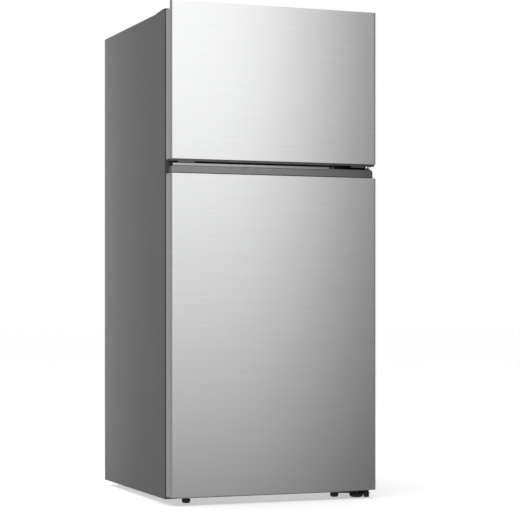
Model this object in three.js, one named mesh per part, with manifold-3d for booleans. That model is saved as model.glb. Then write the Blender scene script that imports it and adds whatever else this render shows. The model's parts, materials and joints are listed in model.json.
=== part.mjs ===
// A free-standing top-freezer refrigerator, made of its separate pieces.
// Millimetres, +Z up, the doors face -Y, and the origin is on the floor under the middle of the box.
import * as THREE from "three";
import { mergeVertices } from "three/addons/utils/BufferGeometryUtils.js";
import Module from "manifold-3d";

const wasm = await Module();
wasm.setup();

// ---- Overall size, over the closed doors ----
const WIDTH = 754;
const DEPTH = 794;
const HEIGHT = 1690;

// ---- Clearances ----
const SEAM = 0.3; // between pieces that touch
const PIN_PLAY = 0.5; // round a pin or a stem
const SLIDE_PLAY = 1; // beside a piece that slides or lifts out

// ---- Cabinet ----
const SHEET = 1; // outer steel
const CABINET_INSET = 1; // cabinet side behind the door's side
const CABINET_BOTTOM = 18;
const DOOR_LIP = 24; // freezer door's front above the cabinet top
const FRONT_FLANGE = 44; // side panels, turned in at the front
const BACK_FLANGE = 12;
const TOP_FLANGE = 26; // top panel, turned down at the front
const BASE_FLANGE = 48; // base pan, turned up at the front
const FOAM_FRONT = 5; // foam behind the cabinet's front face
const BACK_RIBS = 5;
const BACK_RIB_WIDTH = 24;
const BACK_RIB_PITCH = 130;

// ---- Insulated spaces ----
const LINER = 2;
const FREEZER_WALL = 64; // outside of the cabinet to the space inside
const FRIDGE_WALL = 51;
const BACK_WALL = 69;
const TOP_WALL = 62;
const FREEZER_FLOOR = 1199;
const FRIDGE_CEILING = 1094;
const FRIDGE_FLOOR = 80;
const MULLION_FOOT = 1112; // face of the rail between the two doors
const MULLION_TOP = 1192;
const MULLION_THICKNESS = 4;
const LEDGE_HEIGHT = 10;
const LEDGE_DEPTH = 8;
const LEDGE_CLEAR = 60; // ledges stop this far from the fridge's back

// ---- Machine compartment, low at the back ----
const MACHINE_DEPTH = 207;
const MACHINE_TOP = 235;
const MACHINE_FOAM = 55; // between the compartment and the fridge liner
const PLATE_BOTTOM = 33; // compressor plate
const PLATE_THICKNESS = 2;
const COVER_BOTTOM = 40;
const VENTS = 20; // slots in each of the cover's two rows
const VENT_PITCH = 32;
const VENT_WIDTH = 10;
const VENT_MARGIN = 26;
const PLATE_FLANGE = 25;

// ---- Doors ----
const DOOR_DEPTH = 58;
const GASKET_GAP = 14; // door back to cabinet front
const SKIN = 1;
const SKIN_RETURN = 16; // steel front, turned back
const SKIN_RADIUS = 12; // rolled side edges of the steel front
const DOOR_BODY_INSET = 1;
const FREEZER_STEEL_BOTTOM = 1161;
const FRIDGE_STEEL_TOP = 1113;
const FRIDGE_STEEL_BOTTOM = 29;
const DOOR_TOP_DROP = 2; // freezer door's body below the cabinet top
const TOP_CAP = 12;
const FREEZER_BOTTOM_CAP = 24; // above the steel's lower edge
const FREEZER_CAP_DROP = 6; // below it
const FRIDGE_BOTTOM_CAP = 12;
const FRIDGE_CAP_DROP = 2;
const TAB_INNER = 287; // the two tabs under the freezer door
const TAB_OUTER = 347;
const TAB_DROP = 5;
const TAB_DEPTH = 25;
const HANDLE_HEIGHT = 32; // handle cap above the fridge door's steel
const HANDLE_SETBACK = 20;
const HANDLE_SIDE_INSET = 8;
const HANDLE_CORNER = 8;
const GRIP_DEPTH = 22; // finger groove behind the steel's top edge
const GRIP_WALL = 2;
const GRIP_FLOOR = 6;
const FREEZER_GRIP_HALF = 220; // finger groove under the freezer door
const FREEZER_GRIP_DEPTH = 22;
const FREEZER_GRIP_RISE = 18;

// ---- Gaskets and inner door liners ----
const GASKET_SIDE_INSET = 31;
const GASKET_END_INSET = 12;
const GASKET_WIDTH = 18;
const DYKE_CLEAR = 13; // door liner's dykes inside the cabinet's opening
const DYKE_WIDTH = 24;
const DYKE_REACH = 70;
const DYKE_END_CLEAR = 12;
const BIN_WALL = 3;
const BIN_DEPTH = 104;
const BIN_HEIGHT = 95;
const BIN_FRONT_DROP = 15; // the bin's front rim below its sides
const BIN_LEDGE = 6;
const BIN_REST = 10; // height of the ledge under a bin
const BIN_CORNER = 16;
const BIN_FRONT_SIDE = 40; // full height at each end of the front rim
const CHAMFER = 6; // at the dykes' tips
const FREEZER_BINS = { freezer_bin_lower: 62, freezer_bin_upper: 250 }; // heights above the steel's edge
const FRIDGE_BINS = { fridge_bin_lower: 90, fridge_bin_middle: 420, fridge_bin_upper: 740 };

// ---- Hinges: both doors turn on one line at the right ----
const AXIS_INSET = 29;
const AXIS_SETBACK = 26;
const PIN_RADIUS = 4;
const PIN_GRIP = 11; // pin inside a door cap
const HINGE_PLATE = 3;
const TOP_ARM_HALF = 5.5;
const TOP_PAD_LEFT = 230;
const TOP_PAD_DEPTH = 85;
const COVER_WALL = 2;
const COVER_HALF = 9;
const COVER_HEIGHT = 18;
const MIDDLE_FLANGE_LEFT = 205;
const MIDDLE_FLANGE_HEIGHT = 26;
const MIDDLE_PLATE_LEFT = 300;
const MIDDLE_NOSE = 12;
const MIDDLE_SHOULDER = 20; // behind the hinge line
const CORNER_CAP_LENGTH = 97;
const CORNER_CAP_WIDTH = 46;
const CORNER_CAP_HEIGHT = 5.5;

// ---- Feet, rollers and the lower hinge ----
const FOOT_RADIUS = 15;
const FOOT_HEIGHT = 15;
const FOOT_STEM_RADIUS = 5;
const FOOT_STEM_RISE = 16; // stem inside the cabinet
const LEFT_FOOT_INSET = 84; // from the cabinet's side
const RIGHT_FOOT_INSET = 119;
const FOOT_SETBACK = 25; // from the cabinet's front
const HINGE_FOOT_RADIUS = 25;
const HINGE_FOOT_INSET = 50;
const HINGE_FOOT_SETBACK = 62; // from the doors' front
const PIN_NUT_RADIUS = 10;
const PIN_NUT_LIFT = 3;
const LOWER_PLATE_LEFT = 262;
const LOWER_PLATE_BACK = 85;
const ROLLER_RADIUS = 15;
const ROLLER_WIDTH = 20;
const ROLLER_INSET = 76;
const ROLLER_SETBACK = 57;
const EAR = 2.5;
const EAR_HALF = 12;

// ---- Shelves and crisper ----
const SHELF = 5;
const SHELF_FRONT = 120; // from the cabinet's front
const SHELF_CLEAR = 12; // behind the fridge shelves
const FREEZER_SHELF_CLEAR = 15;
const SHELF_LIP = 8; // front edge, turned down
const SHELF_LIP_THICK = 12;
const FREEZER_SHELF_Z = 1400;
const FRIDGE_SHELVES = { fridge_shelf_upper: 850, fridge_shelf_lower: 610 };
const CRISPER_HEIGHT = 240; // above the fridge's floor
const CRISPER_CLEAR = 25; // drawers to the underside of their cover
const CRISPER_WALL = 3;
const CRISPER_FRONT = 8;
const CRISPER_GRIP = 14;
const CRISPER_GUIDE = 24; // moulded guides between the drawers and the side walls
const CRISPER_CORNER = 14;
const GRIP_INSET = 60; // drawer's grip, from its sides
const GRIP_THICK = 6;
const SLIDER_DROP = 40; // below the drawer's rim
const SLIDER_TAB = 6;
const SLIDER_WIDTH = 46;
const SLIDER_HEIGHT = 12;
const SLIDER_THICK = 5;
const SLIDER_TRAVEL = 40;

// ---- Cold air, light and controls ----
const EVAPORATOR_SPACE = 80; // behind the freezer's rear cover
const REAR_COVER = 3;
const LOUVRES = 6; // in front of the fan
const LOUVRE_PITCH = 16;
const RETURN_SLOTS = 14; // along the rear cover's foot
const RETURN_PITCH = 36;
const RETURN_WIDTH = 22;
const RETURN_LIFT = 16;
const FAN_DROP = 85; // fan axis below the freezer's ceiling
const FAN_RADIUS = 48;
const FAN_HUB = 14;
const FAN_BLADES = 5;
const FAN_WIDTH = 18;
const FAN_CHORD = 24;
const FAN_PITCH = 0.55; // radians
const FAN_GAP = 12; // behind the rear cover
const MOTOR_RADIUS = 22;
const MOTOR_LENGTH = 34;
const MOTOR_ARM = 10;
const SHAFT_RADIUS = 3;
const FIN_COUNT = 30;
const FIN = 1.5;
const EVAPORATOR_HEIGHT = 225;
const EVAPORATOR_INSET = 42;
const EVAPORATOR_GAP = 10;
const EVAPORATOR_LIFT = 20;
const DUCT_HALF = 75;
const DUCT_DEPTH = 20;
const DUCT_HEIGHT = 620;
const DUCT_DROP = 40; // below the fridge's ceiling
const DUCT_WALL = 2.5;
const OUTLETS = 4;
const OUTLET_HALF = 45;
const OUTLET_HEIGHT = 10;
const OUTLET_FIRST = 90;
const OUTLET_PITCH = 140;
const CONTROL_HALF = 130;
const CONTROL_DEPTH = 160;
const CONTROL_HEIGHT = 30;
const CONTROL_WALL = 2.5;
const CONTROL_SETBACK = 15; // behind the shelves' front
const LENS_HALF = 70;
const LENS_DEPTH = 80;
const LENS = 4;
const DIAL_RADIUS = 12.5;
const DIAL_DEPTH = 12;
const DIAL_SHAFT = 12;
const DIAL_GRIP = 5;
const DIAL_X = 95;
const FREEZER_DIAL_RADIUS = 20;
const FREEZER_DIAL_DEPTH = 16;
const FREEZER_DIAL_SHAFT = 14;
const FREEZER_DIAL_X = -170;
const SWITCH_X = 200;
const SWITCH_RADIUS = 3.5;
const SWITCH_COLLAR = 5.5;
const SWITCH_TRAVEL = 5;

// ---- Machine compartment's contents ----
const COMPRESSOR_RADIUS = 75;
const COMPRESSOR_HEIGHT = 150;
const COMPRESSOR_X = 200;
const GROMMET_RADIUS = 10;
const FOOT_PLATE = 3;
const TERMINAL_DEPTH = 18;
const TERMINAL_HALF = 22;
const TERMINAL_DROP = 45;
const GROMMET_HEIGHT = 8;
const TRAY_HEIGHT = 32;
const TRAY_TOP = 205;
const CONDENSER_RADIUS = 3;
const CONDENSER_PASSES = 8;
const CONDENSER_LENGTH = 280; // straight part of each pass
const CONDENSER_PITCH = 22;
const CONDENSER_LIFT = 60; // above the compressor plate
const TRAY_WIDTH = 310;
const TRAY_DEPTH = 185;
const TRAY_INSET = 30;
const TRAY_WALL = 2.5;
const TRAY_CORNER = 12;

// ---- Planes and lines that follow from the sizes ----
const SIDE = WIDTH / 2;
const FRONT = -DEPTH / 2;
const BACK = DEPTH / 2;
const CABINET_SIDE = SIDE - CABINET_INSET;
const CABINET_TOP = HEIGHT - DOOR_LIP;
const CABINET_FRONT = FRONT + DOOR_DEPTH + GASKET_GAP;
const INSIDE = CABINET_SIDE - SHEET - SEAM; // what fits between the side panels
const FRAME_HALF = CABINET_SIDE - FRONT_FLANGE - SEAM; // what fits between their front flanges
const BACK_FACE = BACK - SHEET - SEAM; // outside of the back panel
const BACK_INNER = BACK_FACE - SHEET - SEAM;
const SPACE_BACK = BACK - BACK_WALL;
const FREEZER_HALF = CABINET_SIDE - FREEZER_WALL;
const FRIDGE_HALF = CABINET_SIDE - FRIDGE_WALL;
const FREEZER_CEILING = CABINET_TOP - TOP_WALL;
const MACHINE_FRONT = BACK - MACHINE_DEPTH;
const HUMP_FRONT = MACHINE_FRONT - MACHINE_FOAM;
const HUMP_TOP = MACHINE_TOP + MACHINE_FOAM;
const CRISPER_COVER_Z = FRIDGE_FLOOR + CRISPER_HEIGHT + CRISPER_CLEAR;
const AXIS_X = SIDE - AXIS_INSET;
const AXIS_Y = FRONT + AXIS_SETBACK;
const FREEZER_STEEL = HEIGHT - FREEZER_STEEL_BOTTOM;
const FRIDGE_STEEL = FRIDGE_STEEL_TOP - FRIDGE_STEEL_BOTTOM;
const FREEZER_BODY_TOP = CABINET_TOP - DOOR_TOP_DROP - FREEZER_STEEL_BOTTOM; // above the steel's lower edge
const HANDLE_TOP = FRIDGE_STEEL + HANDLE_HEIGHT;
const HANDLE_FOOT = FRIDGE_STEEL - GRIP_DEPTH - GRIP_FLOOR;
const GAP_TOP = FREEZER_STEEL_BOTTOM - FREEZER_CAP_DROP - TAB_DROP;
const GAP_FOOT = FRIDGE_STEEL_BOTTOM + HANDLE_TOP;
const PLATE_MIDDLE = (GAP_TOP + GAP_FOOT) / 2;
const REAR_COVER_BACK = SPACE_BACK - EVAPORATOR_SPACE;
const SHELF_START = CABINET_FRONT + SHELF_FRONT;
const SHELF_BACK = SPACE_BACK - DUCT_DEPTH - SHELF_CLEAR;
const SWITCH_Z = (FRIDGE_CEILING + MULLION_FOOT) / 2;
const FAN_Z = FREEZER_CEILING - FAN_DROP;
const LOWER_PLATE_BOTTOM = CABINET_BOTTOM - SEAM - HINGE_PLATE;
const PLATE_TOP = PLATE_BOTTOM + PLATE_THICKNESS;
const COMPRESSOR_Y = (MACHINE_FRONT + BACK_INNER) / 2;

// ---- Materials ----
function finish(color, roughness, metalness, opacity = 1) {
  return new THREE.MeshStandardMaterial({
    color,
    roughness,
    metalness,
    opacity,
    transparent: opacity < 1,
  });
}
const brushedSteel = finish(0xc9cacb, 0.35, 1);
const greyPaint = finish(0x6c6d6f, 0.5, 0.2);
const zincSteel = finish(0xb4b6b6, 0.45, 0.9);
const blackPaint = finish(0x1c1c1d, 0.5, 0.3);
const capPlastic = finish(0x6f7072, 0.5, 0);
const darkPlastic = finish(0x262627, 0.55, 0);
const whitePlastic = finish(0xf1f2f1, 0.4, 0);
const clearPlastic = finish(0xdfe9ec, 0.15, 0, 0.45);
const clearGlass = finish(0xd3e4df, 0.05, 0, 0.35);
const gasketRubber = finish(0x59595b, 0.7, 0);
const blackRubber = finish(0x151515, 0.8, 0);
const foam = finish(0xe6d9a8, 0.9, 0);
const copper = finish(0xa8693f, 0.35, 1);
const aluminium = finish(0xc4c7c9, 0.4, 1);

// ---- Shape helpers ----
function toSolid(geometry) {
  const bare = geometry.clone();
  bare.deleteAttribute("normal");
  bare.deleteAttribute("uv");
  const merged = mergeVertices(bare, 1e-4);
  return new wasm.Manifold(
    new wasm.Mesh({
      numProp: 3,
      vertProperties: merged.attributes.position.array,
      triVerts: new Uint32Array(merged.index.array),
    }),
  );
}

function toGeometry(solid) {
  const { vertProperties, triVerts } = solid.getMesh();
  const geometry = new THREE.BufferGeometry();
  geometry.setAttribute("position", new THREE.BufferAttribute(vertProperties, 3));
  geometry.setIndex(new THREE.BufferAttribute(triVerts, 1));
  return geometry;
}

function join(...pieces) {
  return toGeometry(pieces.map(toSolid).reduce((a, b) => a.add(b)));
}

function cut(piece, ...tools) {
  return toGeometry(tools.map(toSolid).reduce((a, b) => a.subtract(b), toSolid(piece)));
}

function common(a, b) {
  return toGeometry(toSolid(a).intersect(toSolid(b)));
}

// A box from the low to the high end of each axis.
function block(x, y, z) {
  return new THREE.BoxGeometry(x[1] - x[0], y[1] - y[0], z[1] - z[0]).translate(
    (x[0] + x[1]) / 2,
    (y[0] + y[1]) / 2,
    (z[0] + z[1]) / 2,
  );
}

const both = (half) => [-half, half];

function extrude(outline, depth) {
  const isShape = outline instanceof THREE.Shape;
  const shape = isShape ? outline : new THREE.Shape(outline.map(([u, v]) => new THREE.Vector2(u, v)));
  return new THREE.ExtrudeGeometry(shape, { depth, bevelEnabled: false, curveSegments: 4 });
}

// An outline in plan, raised from z[0] to z[1].
function prismZ(outline, z) {
  return extrude(outline, z[1] - z[0]).translate(0, 0, z[0]);
}

// An outline of (y, z) points, run from x[0] to x[1].
function prismX(outline, x) {
  const turn = new THREE.Matrix4().makeBasis(
    new THREE.Vector3(0, 1, 0),
    new THREE.Vector3(0, 0, 1),
    new THREE.Vector3(1, 0, 0),
  );
  return extrude(outline, x[1] - x[0]).applyMatrix4(turn).translate(x[0], 0, 0);
}

// An outline of (x, z) points, run from y[0] to y[1].
function prismY(outline, y) {
  return extrude(outline, y[1] - y[0]).rotateX(Math.PI / 2).translate(0, y[1], 0);
}

function roundedOutline(u, v, radius) {
  const shape = new THREE.Shape();
  shape.absarc(u[1] - radius, v[0] + radius, radius, -Math.PI / 2, 0);
  shape.absarc(u[1] - radius, v[1] - radius, radius, 0, Math.PI / 2);
  shape.absarc(u[0] + radius, v[1] - radius, radius, Math.PI / 2, Math.PI);
  shape.absarc(u[0] + radius, v[0] + radius, radius, Math.PI, 1.5 * Math.PI);
  return shape;
}

// A solid of revolution about Z, from (radius, z) points that start and end on the axis.
function turned(points, sides = 24) {
  const profile = points.map(([r, z]) => new THREE.Vector2(r, z));
  return new THREE.LatheGeometry(profile, sides).rotateX(Math.PI / 2);
}

function disc(radius, z, sides = 24) {
  return turned([[0, z[0]], [radius, z[0]], [radius, z[1]], [0, z[1]]], sides);
}

// The same about an axis along Y, or along X.
const discY = (radius, y, sides) => disc(radius, [-y[1], -y[0]], sides).rotateX(Math.PI / 2);
const discX = (radius, x, sides) => disc(radius, x, sides).rotateY(Math.PI / 2);

function arc(x, y, radius, from, to, steps = 5) {
  return Array.from({ length: steps + 1 }, (_, i) => {
    const angle = from + ((to - from) * i) / steps;
    return [x + radius * Math.cos(angle), y + radius * Math.sin(angle)];
  });
}

// A section of (inset, y) points carried round a rectangle in X and Z, with mitred corners.
function framed(section, half, z) {
  const middle = (z[0] + z[1]) / 2;
  const rise = (z[1] - z[0]) / 2;
  const corners = [[-1, -1], [1, -1], [1, 1], [-1, 1]];
  const points = corners.flatMap(([sx, sz]) =>
    section.flatMap(([inset, y]) => [sx * (half - inset), y, middle + sz * (rise - inset)]),
  );
  const count = section.length;
  const faces = [];
  corners.forEach((_, c) => {
    section.forEach((_, i) => {
      const [a, b] = [c * count + i, c * count + ((i + 1) % count)];
      const next = ((c + 1) % corners.length) * count;
      const [d, e] = [next + i, next + ((i + 1) % count)];
      faces.push(a, e, b, a, d, e);
    });
  });
  const geometry = new THREE.BufferGeometry();
  geometry.setAttribute("position", new THREE.Float32BufferAttribute(points, 3));
  geometry.setIndex(faces);
  return geometry;
}

// An open-topped box with rounded upright corners.
function openBox(x, y, z, wall, radius) {
  const inner = roundedOutline(
    [x[0] + wall, x[1] - wall],
    [y[0] + wall, y[1] - wall],
    radius - wall,
  );
  return cut(
    prismZ(roundedOutline(x, y, radius), z),
    prismZ(inner, [z[0] + wall, z[1] + wall]),
  );
}

function add(group, name, geometry, material, position = [0, 0, 0]) {
  const mesh = new THREE.Mesh(geometry, material);
  mesh.name = name;
  mesh.position.set(...position);
  group.add(mesh);
  return mesh;
}

// ---- Cabinet shell ----
function sidePanel(sign) {
  const outline = [
    [CABINET_SIDE, CABINET_FRONT],
    [CABINET_SIDE, BACK],
    [CABINET_SIDE - BACK_FLANGE, BACK],
    [CABINET_SIDE - BACK_FLANGE, BACK - SHEET],
    [CABINET_SIDE - SHEET, BACK - SHEET],
    [CABINET_SIDE - SHEET, CABINET_FRONT + SHEET],
    [CABINET_SIDE - FRONT_FLANGE, CABINET_FRONT + SHEET],
    [CABINET_SIDE - FRONT_FLANGE, CABINET_FRONT],
  ];
  return prismZ(
    outline.map(([x, y]) => [sign * x, y]),
    [CABINET_BOTTOM, CABINET_TOP - SHEET - SEAM],
  );
}

function topPanel() {
  const under = CABINET_TOP - SHEET;
  const flangeFoot = CABINET_TOP - TOP_FLANGE;
  return join(
    block(both(CABINET_SIDE), [CABINET_FRONT, BACK_FACE], [under, CABINET_TOP]),
    block(both(FRAME_HALF), [CABINET_FRONT, CABINET_FRONT + SHEET], [flangeFoot, CABINET_TOP]),
  );
}

function backPanel() {
  const z = [MACHINE_TOP + SEAM, CABINET_TOP - SHEET - SEAM];
  const first = (-BACK_RIB_PITCH * (BACK_RIBS - 1)) / 2;
  const outside = BACK_FACE + SHEET;
  const ribs = Array.from({ length: BACK_RIBS }, (_, i) => {
    const x = first + i * BACK_RIB_PITCH;
    const half = BACK_RIB_WIDTH / 2;
    const root = BACK_FACE - SEAM;
    return prismZ(
      [[x - half, root], [x + half, root], [x + half / 2, outside], [x - half / 2, outside]],
      [z[0] + BACK_RIB_WIDTH, z[1] - BACK_RIB_WIDTH],
    );
  });
  return join(block(both(INSIDE), [BACK_FACE - SHEET, BACK_FACE], z), ...ribs);
}

function footPlaces() {
  const y = CABINET_FRONT + FOOT_SETBACK;
  return { left: [LEFT_FOOT_INSET - CABINET_SIDE, y], right: [CABINET_SIDE - RIGHT_FOOT_INSET, y] };
}

function stemHoles(z) {
  return Object.values(footPlaces()).map(([x, y]) =>
    disc(FOOT_STEM_RADIUS + PIN_PLAY, z).translate(x, y, 0),
  );
}

function basePan() {
  const floor = [CABINET_BOTTOM, CABINET_BOTTOM + SHEET];
  const flangeTop = CABINET_BOTTOM + BASE_FLANGE - SEAM;
  const start = CABINET_FRONT + SHEET + SEAM;
  return cut(
    join(
      prismZ(
        [
          [-FRAME_HALF, CABINET_FRONT],
          [FRAME_HALF, CABINET_FRONT],
          [FRAME_HALF, start],
          [INSIDE, start],
          [INSIDE, MACHINE_FRONT],
          [-INSIDE, MACHINE_FRONT],
          [-INSIDE, start],
          [-FRAME_HALF, start],
        ],
        floor,
      ),
      block(both(FRAME_HALF), [CABINET_FRONT, CABINET_FRONT + SHEET], [CABINET_BOTTOM, flangeTop]),
      prismX(
        [
          [MACHINE_FRONT - SHEET, CABINET_BOTTOM],
          [MACHINE_FRONT, CABINET_BOTTOM],
          [MACHINE_FRONT, MACHINE_TOP - SHEET],
          [BACK_INNER, MACHINE_TOP - SHEET],
          [BACK_INNER, MACHINE_TOP],
          [MACHINE_FRONT - SHEET, MACHINE_TOP],
        ],
        both(INSIDE),
      ),
    ),
    ...stemHoles([0, CABINET_BOTTOM + BASE_FLANGE]),
  );
}

// The fridge space in (y, z), stepped over the machine compartment, grown by a wall all round.
function fridgeSpace(wall) {
  return [
    [CABINET_FRONT - wall, FRIDGE_FLOOR - wall],
    [HUMP_FRONT + wall, FRIDGE_FLOOR - wall],
    [HUMP_FRONT + wall, HUMP_TOP - wall],
    [SPACE_BACK + wall, HUMP_TOP - wall],
    [SPACE_BACK + wall, FRIDGE_CEILING + wall],
    [CABINET_FRONT - wall, FRIDGE_CEILING + wall],
  ];
}

function freezerSpace(wall) {
  return block(
    both(FREEZER_HALF + wall),
    [CABINET_FRONT - wall, SPACE_BACK + wall],
    [FREEZER_FLOOR - wall, FREEZER_CEILING + wall],
  );
}

function insulation() {
  const around = LINER + SEAM;
  const pocket = SWITCH_COLLAR + PIN_PLAY;
  const pocketDepth = [CABINET_FRONT, CABINET_FRONT + FOAM_FRONT + 4 * SWITCH_TRAVEL];
  return cut(
    block(
      both(INSIDE - SEAM),
      [CABINET_FRONT + FOAM_FRONT, BACK_INNER],
      [CABINET_BOTTOM + SHEET + SEAM, CABINET_TOP - SHEET - SEAM],
    ),
    prismX(fridgeSpace(around), both(FRIDGE_HALF + around)),
    freezerSpace(around),
    block(
      both(CABINET_SIDE),
      [MACHINE_FRONT - SHEET - SEAM, BACK],
      [CABINET_BOTTOM, MACHINE_TOP + SEAM],
    ),
    discY(pocket, pocketDepth).translate(SWITCH_X, 0, SWITCH_Z),
    ...stemHoles([0, CABINET_BOTTOM + 2 * FOOT_STEM_RISE]),
  );
}

// A pair of ledges along the side walls, whose top is a shelf's underside.
function ledges(half, y, top) {
  return [-1, 1].map((sign) => {
    const outline = [
      [sign * (half + LINER / 2), top - LEDGE_HEIGHT],
      [sign * (half - LEDGE_DEPTH), top - LEDGE_HEIGHT / 2],
      [sign * (half - LEDGE_DEPTH), top],
      [sign * (half + LINER / 2), top],
    ];
    return prismY(outline, y);
  });
}

function freezerLiner() {
  const inner = cut(
    join(
      block(
        both(FREEZER_HALF + LINER),
        [CABINET_FRONT, SPACE_BACK + LINER],
        [FREEZER_FLOOR - LINER, FREEZER_CEILING + LINER],
      ),
      block(
        both(FRAME_HALF),
        [CABINET_FRONT, CABINET_FRONT + LINER],
        [MULLION_TOP + SEAM, CABINET_TOP - TOP_FLANGE - SEAM],
      ),
    ),
    block(
      both(FREEZER_HALF),
      [CABINET_FRONT - LINER, SPACE_BACK],
      [FREEZER_FLOOR, FREEZER_CEILING],
    ),
  );
  const along = [SHELF_START, REAR_COVER_BACK - FREEZER_SHELF_CLEAR];
  return join(inner, ...ledges(FREEZER_HALF, along, FREEZER_SHELF_Z - SEAM));
}

// A false wall beside the crisper drawers: it guides them and carries their cover.
function crisperGuide(sign) {
  const inner = FRIDGE_HALF - CRISPER_GUIDE;
  const outer = FRIDGE_HALF + LINER / 2;
  const start = SHELF_START + SHELF_LIP_THICK + 2 * SLIDE_PLAY;
  const end = HUMP_FRONT + LINER / 2;
  const plan = [
    [outer, start],
    [inner, start],
    [inner, end],
    [inner + LINER, end],
    [inner + LINER, start + LINER],
    [outer, start + LINER],
  ];
  return prismZ(plan.map(([x, y]) => [sign * x, y]), [FRIDGE_FLOOR - LINER / 2, CRISPER_COVER_Z - SEAM]);
}

function fridgeLiner() {
  const outer = fridgeSpace(LINER).map(([y, z]) => [Math.max(y, CABINET_FRONT), z]);
  const inner = fridgeSpace(0).map(([y, z]) => [y === CABINET_FRONT ? y - LINER : y, z]);
  const switchHole = [CABINET_FRONT - LINER, CABINET_FRONT + 2 * LINER];
  const tub = cut(
    join(
      prismX(outer, both(FRIDGE_HALF + LINER)),
      block(
        both(FRAME_HALF),
        [CABINET_FRONT, CABINET_FRONT + LINER],
        [CABINET_BOTTOM + BASE_FLANGE, MULLION_FOOT - SEAM],
      ),
    ),
    prismX(inner, both(FRIDGE_HALF)),
    discY(SWITCH_RADIUS + PIN_PLAY, switchHole).translate(SWITCH_X, 0, SWITCH_Z),
  );
  const heights = [...Object.values(FRIDGE_SHELVES), CRISPER_COVER_Z];
  const along = [SHELF_START, SPACE_BACK - LEDGE_CLEAR];
  const rests = heights.flatMap((z) => ledges(FRIDGE_HALF, along, z - SEAM));
  return join(tub, ...rests, crisperGuide(-1), crisperGuide(1));
}

function buildShell(group) {
  add(group, "side_panel_left", sidePanel(-1), greyPaint);
  add(group, "side_panel_right", sidePanel(1), greyPaint);
  add(group, "top_panel", topPanel(), greyPaint);
  add(group, "back_panel", backPanel(), zincSteel);
  add(group, "base_pan", basePan(), zincSteel);
  add(group, "foam_insulation", insulation(), foam);
  add(group, "freezer_liner", freezerLiner(), whitePlastic);
  add(group, "fridge_liner", fridgeLiner(), whitePlastic);
  const railY = [CABINET_FRONT, CABINET_FRONT + MULLION_THICKNESS];
  add(group, "mullion_rail", block(both(FRAME_HALF), railY, [MULLION_FOOT, MULLION_TOP]), greyPaint);
}

// ---- Machine compartment ----
function slots(count, pitch, width, z, y) {
  const first = (-pitch * (count - 1)) / 2;
  return Array.from({ length: count }, (_, i) => {
    const x = first + i * pitch;
    return block([x - width / 2, x + width / 2], y, z);
  });
}

function machineCover() {
  const z = [COVER_BOTTOM, MACHINE_TOP - SHEET - SEAM];
  const through = [BACK_INNER - SHEET, BACK];
  const margin = VENT_MARGIN;
  const half = (z[0] + z[1]) / 2;
  return cut(
    block(both(INSIDE - BACK_FLANGE), [BACK_FACE - SHEET, BACK_FACE], z),
    ...slots(VENTS, VENT_PITCH, VENT_WIDTH, [z[0] + margin, half - margin / 2], through),
    ...slots(VENTS, VENT_PITCH, VENT_WIDTH, [half + margin / 2, z[1] - margin], through),
  );
}

function rollerPlace(sign) {
  return [sign * (CABINET_SIDE - ROLLER_INSET), BACK - ROLLER_SETBACK, ROLLER_RADIUS];
}

// The plate carries the compressor, and two pairs of ears with the rollers' pins between them.
function compressorPlate() {
  const inner = ROLLER_WIDTH / 2 + SLIDE_PLAY / 2;
  const ears = [-1, 1].flatMap((sign) => {
    const [x, y, z] = rollerPlace(sign);
    const rise = [z - PIN_RADIUS - EAR, PLATE_TOP];
    return [
      block([x - inner - EAR, x - inner], [y - EAR_HALF, y + EAR_HALF], rise),
      block([x + inner, x + inner + EAR], [y - EAR_HALF, y + EAR_HALF], rise),
      discX(PIN_RADIUS, both(inner + EAR), 16).translate(x, y, z),
    ];
  });
  const frontFlange = [MACHINE_FRONT + SEAM, MACHINE_FRONT + SEAM + PLATE_THICKNESS];
  return join(
    block(both(INSIDE - SEAM), [MACHINE_FRONT + SEAM, BACK_INNER - SEAM], [PLATE_BOTTOM, PLATE_TOP]),
    block(both(INSIDE - SEAM), frontFlange, [PLATE_BOTTOM, PLATE_TOP + PLATE_FLANGE]),
    ...ears,
  );
}

function compressor() {
  const base = PLATE_TOP + SEAM + GROMMET_HEIGHT;
  const top = base + COMPRESSOR_HEIGHT;
  const seam = base + COMPRESSOR_HEIGHT * 0.63;
  const r = COMPRESSOR_RADIUS;
  const dome = turned([
    [0, base],
    [r * 0.75, base + COMPRESSOR_HEIGHT * 0.03],
    [r * 0.95, base + COMPRESSOR_HEIGHT * 0.15],
    [r, base + COMPRESSOR_HEIGHT * 0.37],
    [r, seam],
    [r * 0.9, base + COMPRESSOR_HEIGHT * 0.83],
    [r * 0.6, base + COMPRESSOR_HEIGHT * 0.96],
    [0, top],
  ]);
  const footZ = [PLATE_TOP + SEAM, base + FOOT_PLATE];
  const feet = [-1, 1].flatMap((sx) =>
    [-1, 1].map((sy) => disc(GROMMET_RADIUS, footZ, 12).translate(sx * r * 0.95, sy * r * 0.6, 0)),
  );
  const footPlate = block(both(r * 1.1), both(r * 0.75), [base, base + FOOT_PLATE]);
  const terminalX = [-r - TERMINAL_DEPTH, -r * 0.8];
  const terminalBox = block(terminalX, both(TERMINAL_HALF), [seam - TERMINAL_DROP, seam]);
  return join(dome, footPlate, terminalBox, ...feet);
}

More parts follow.
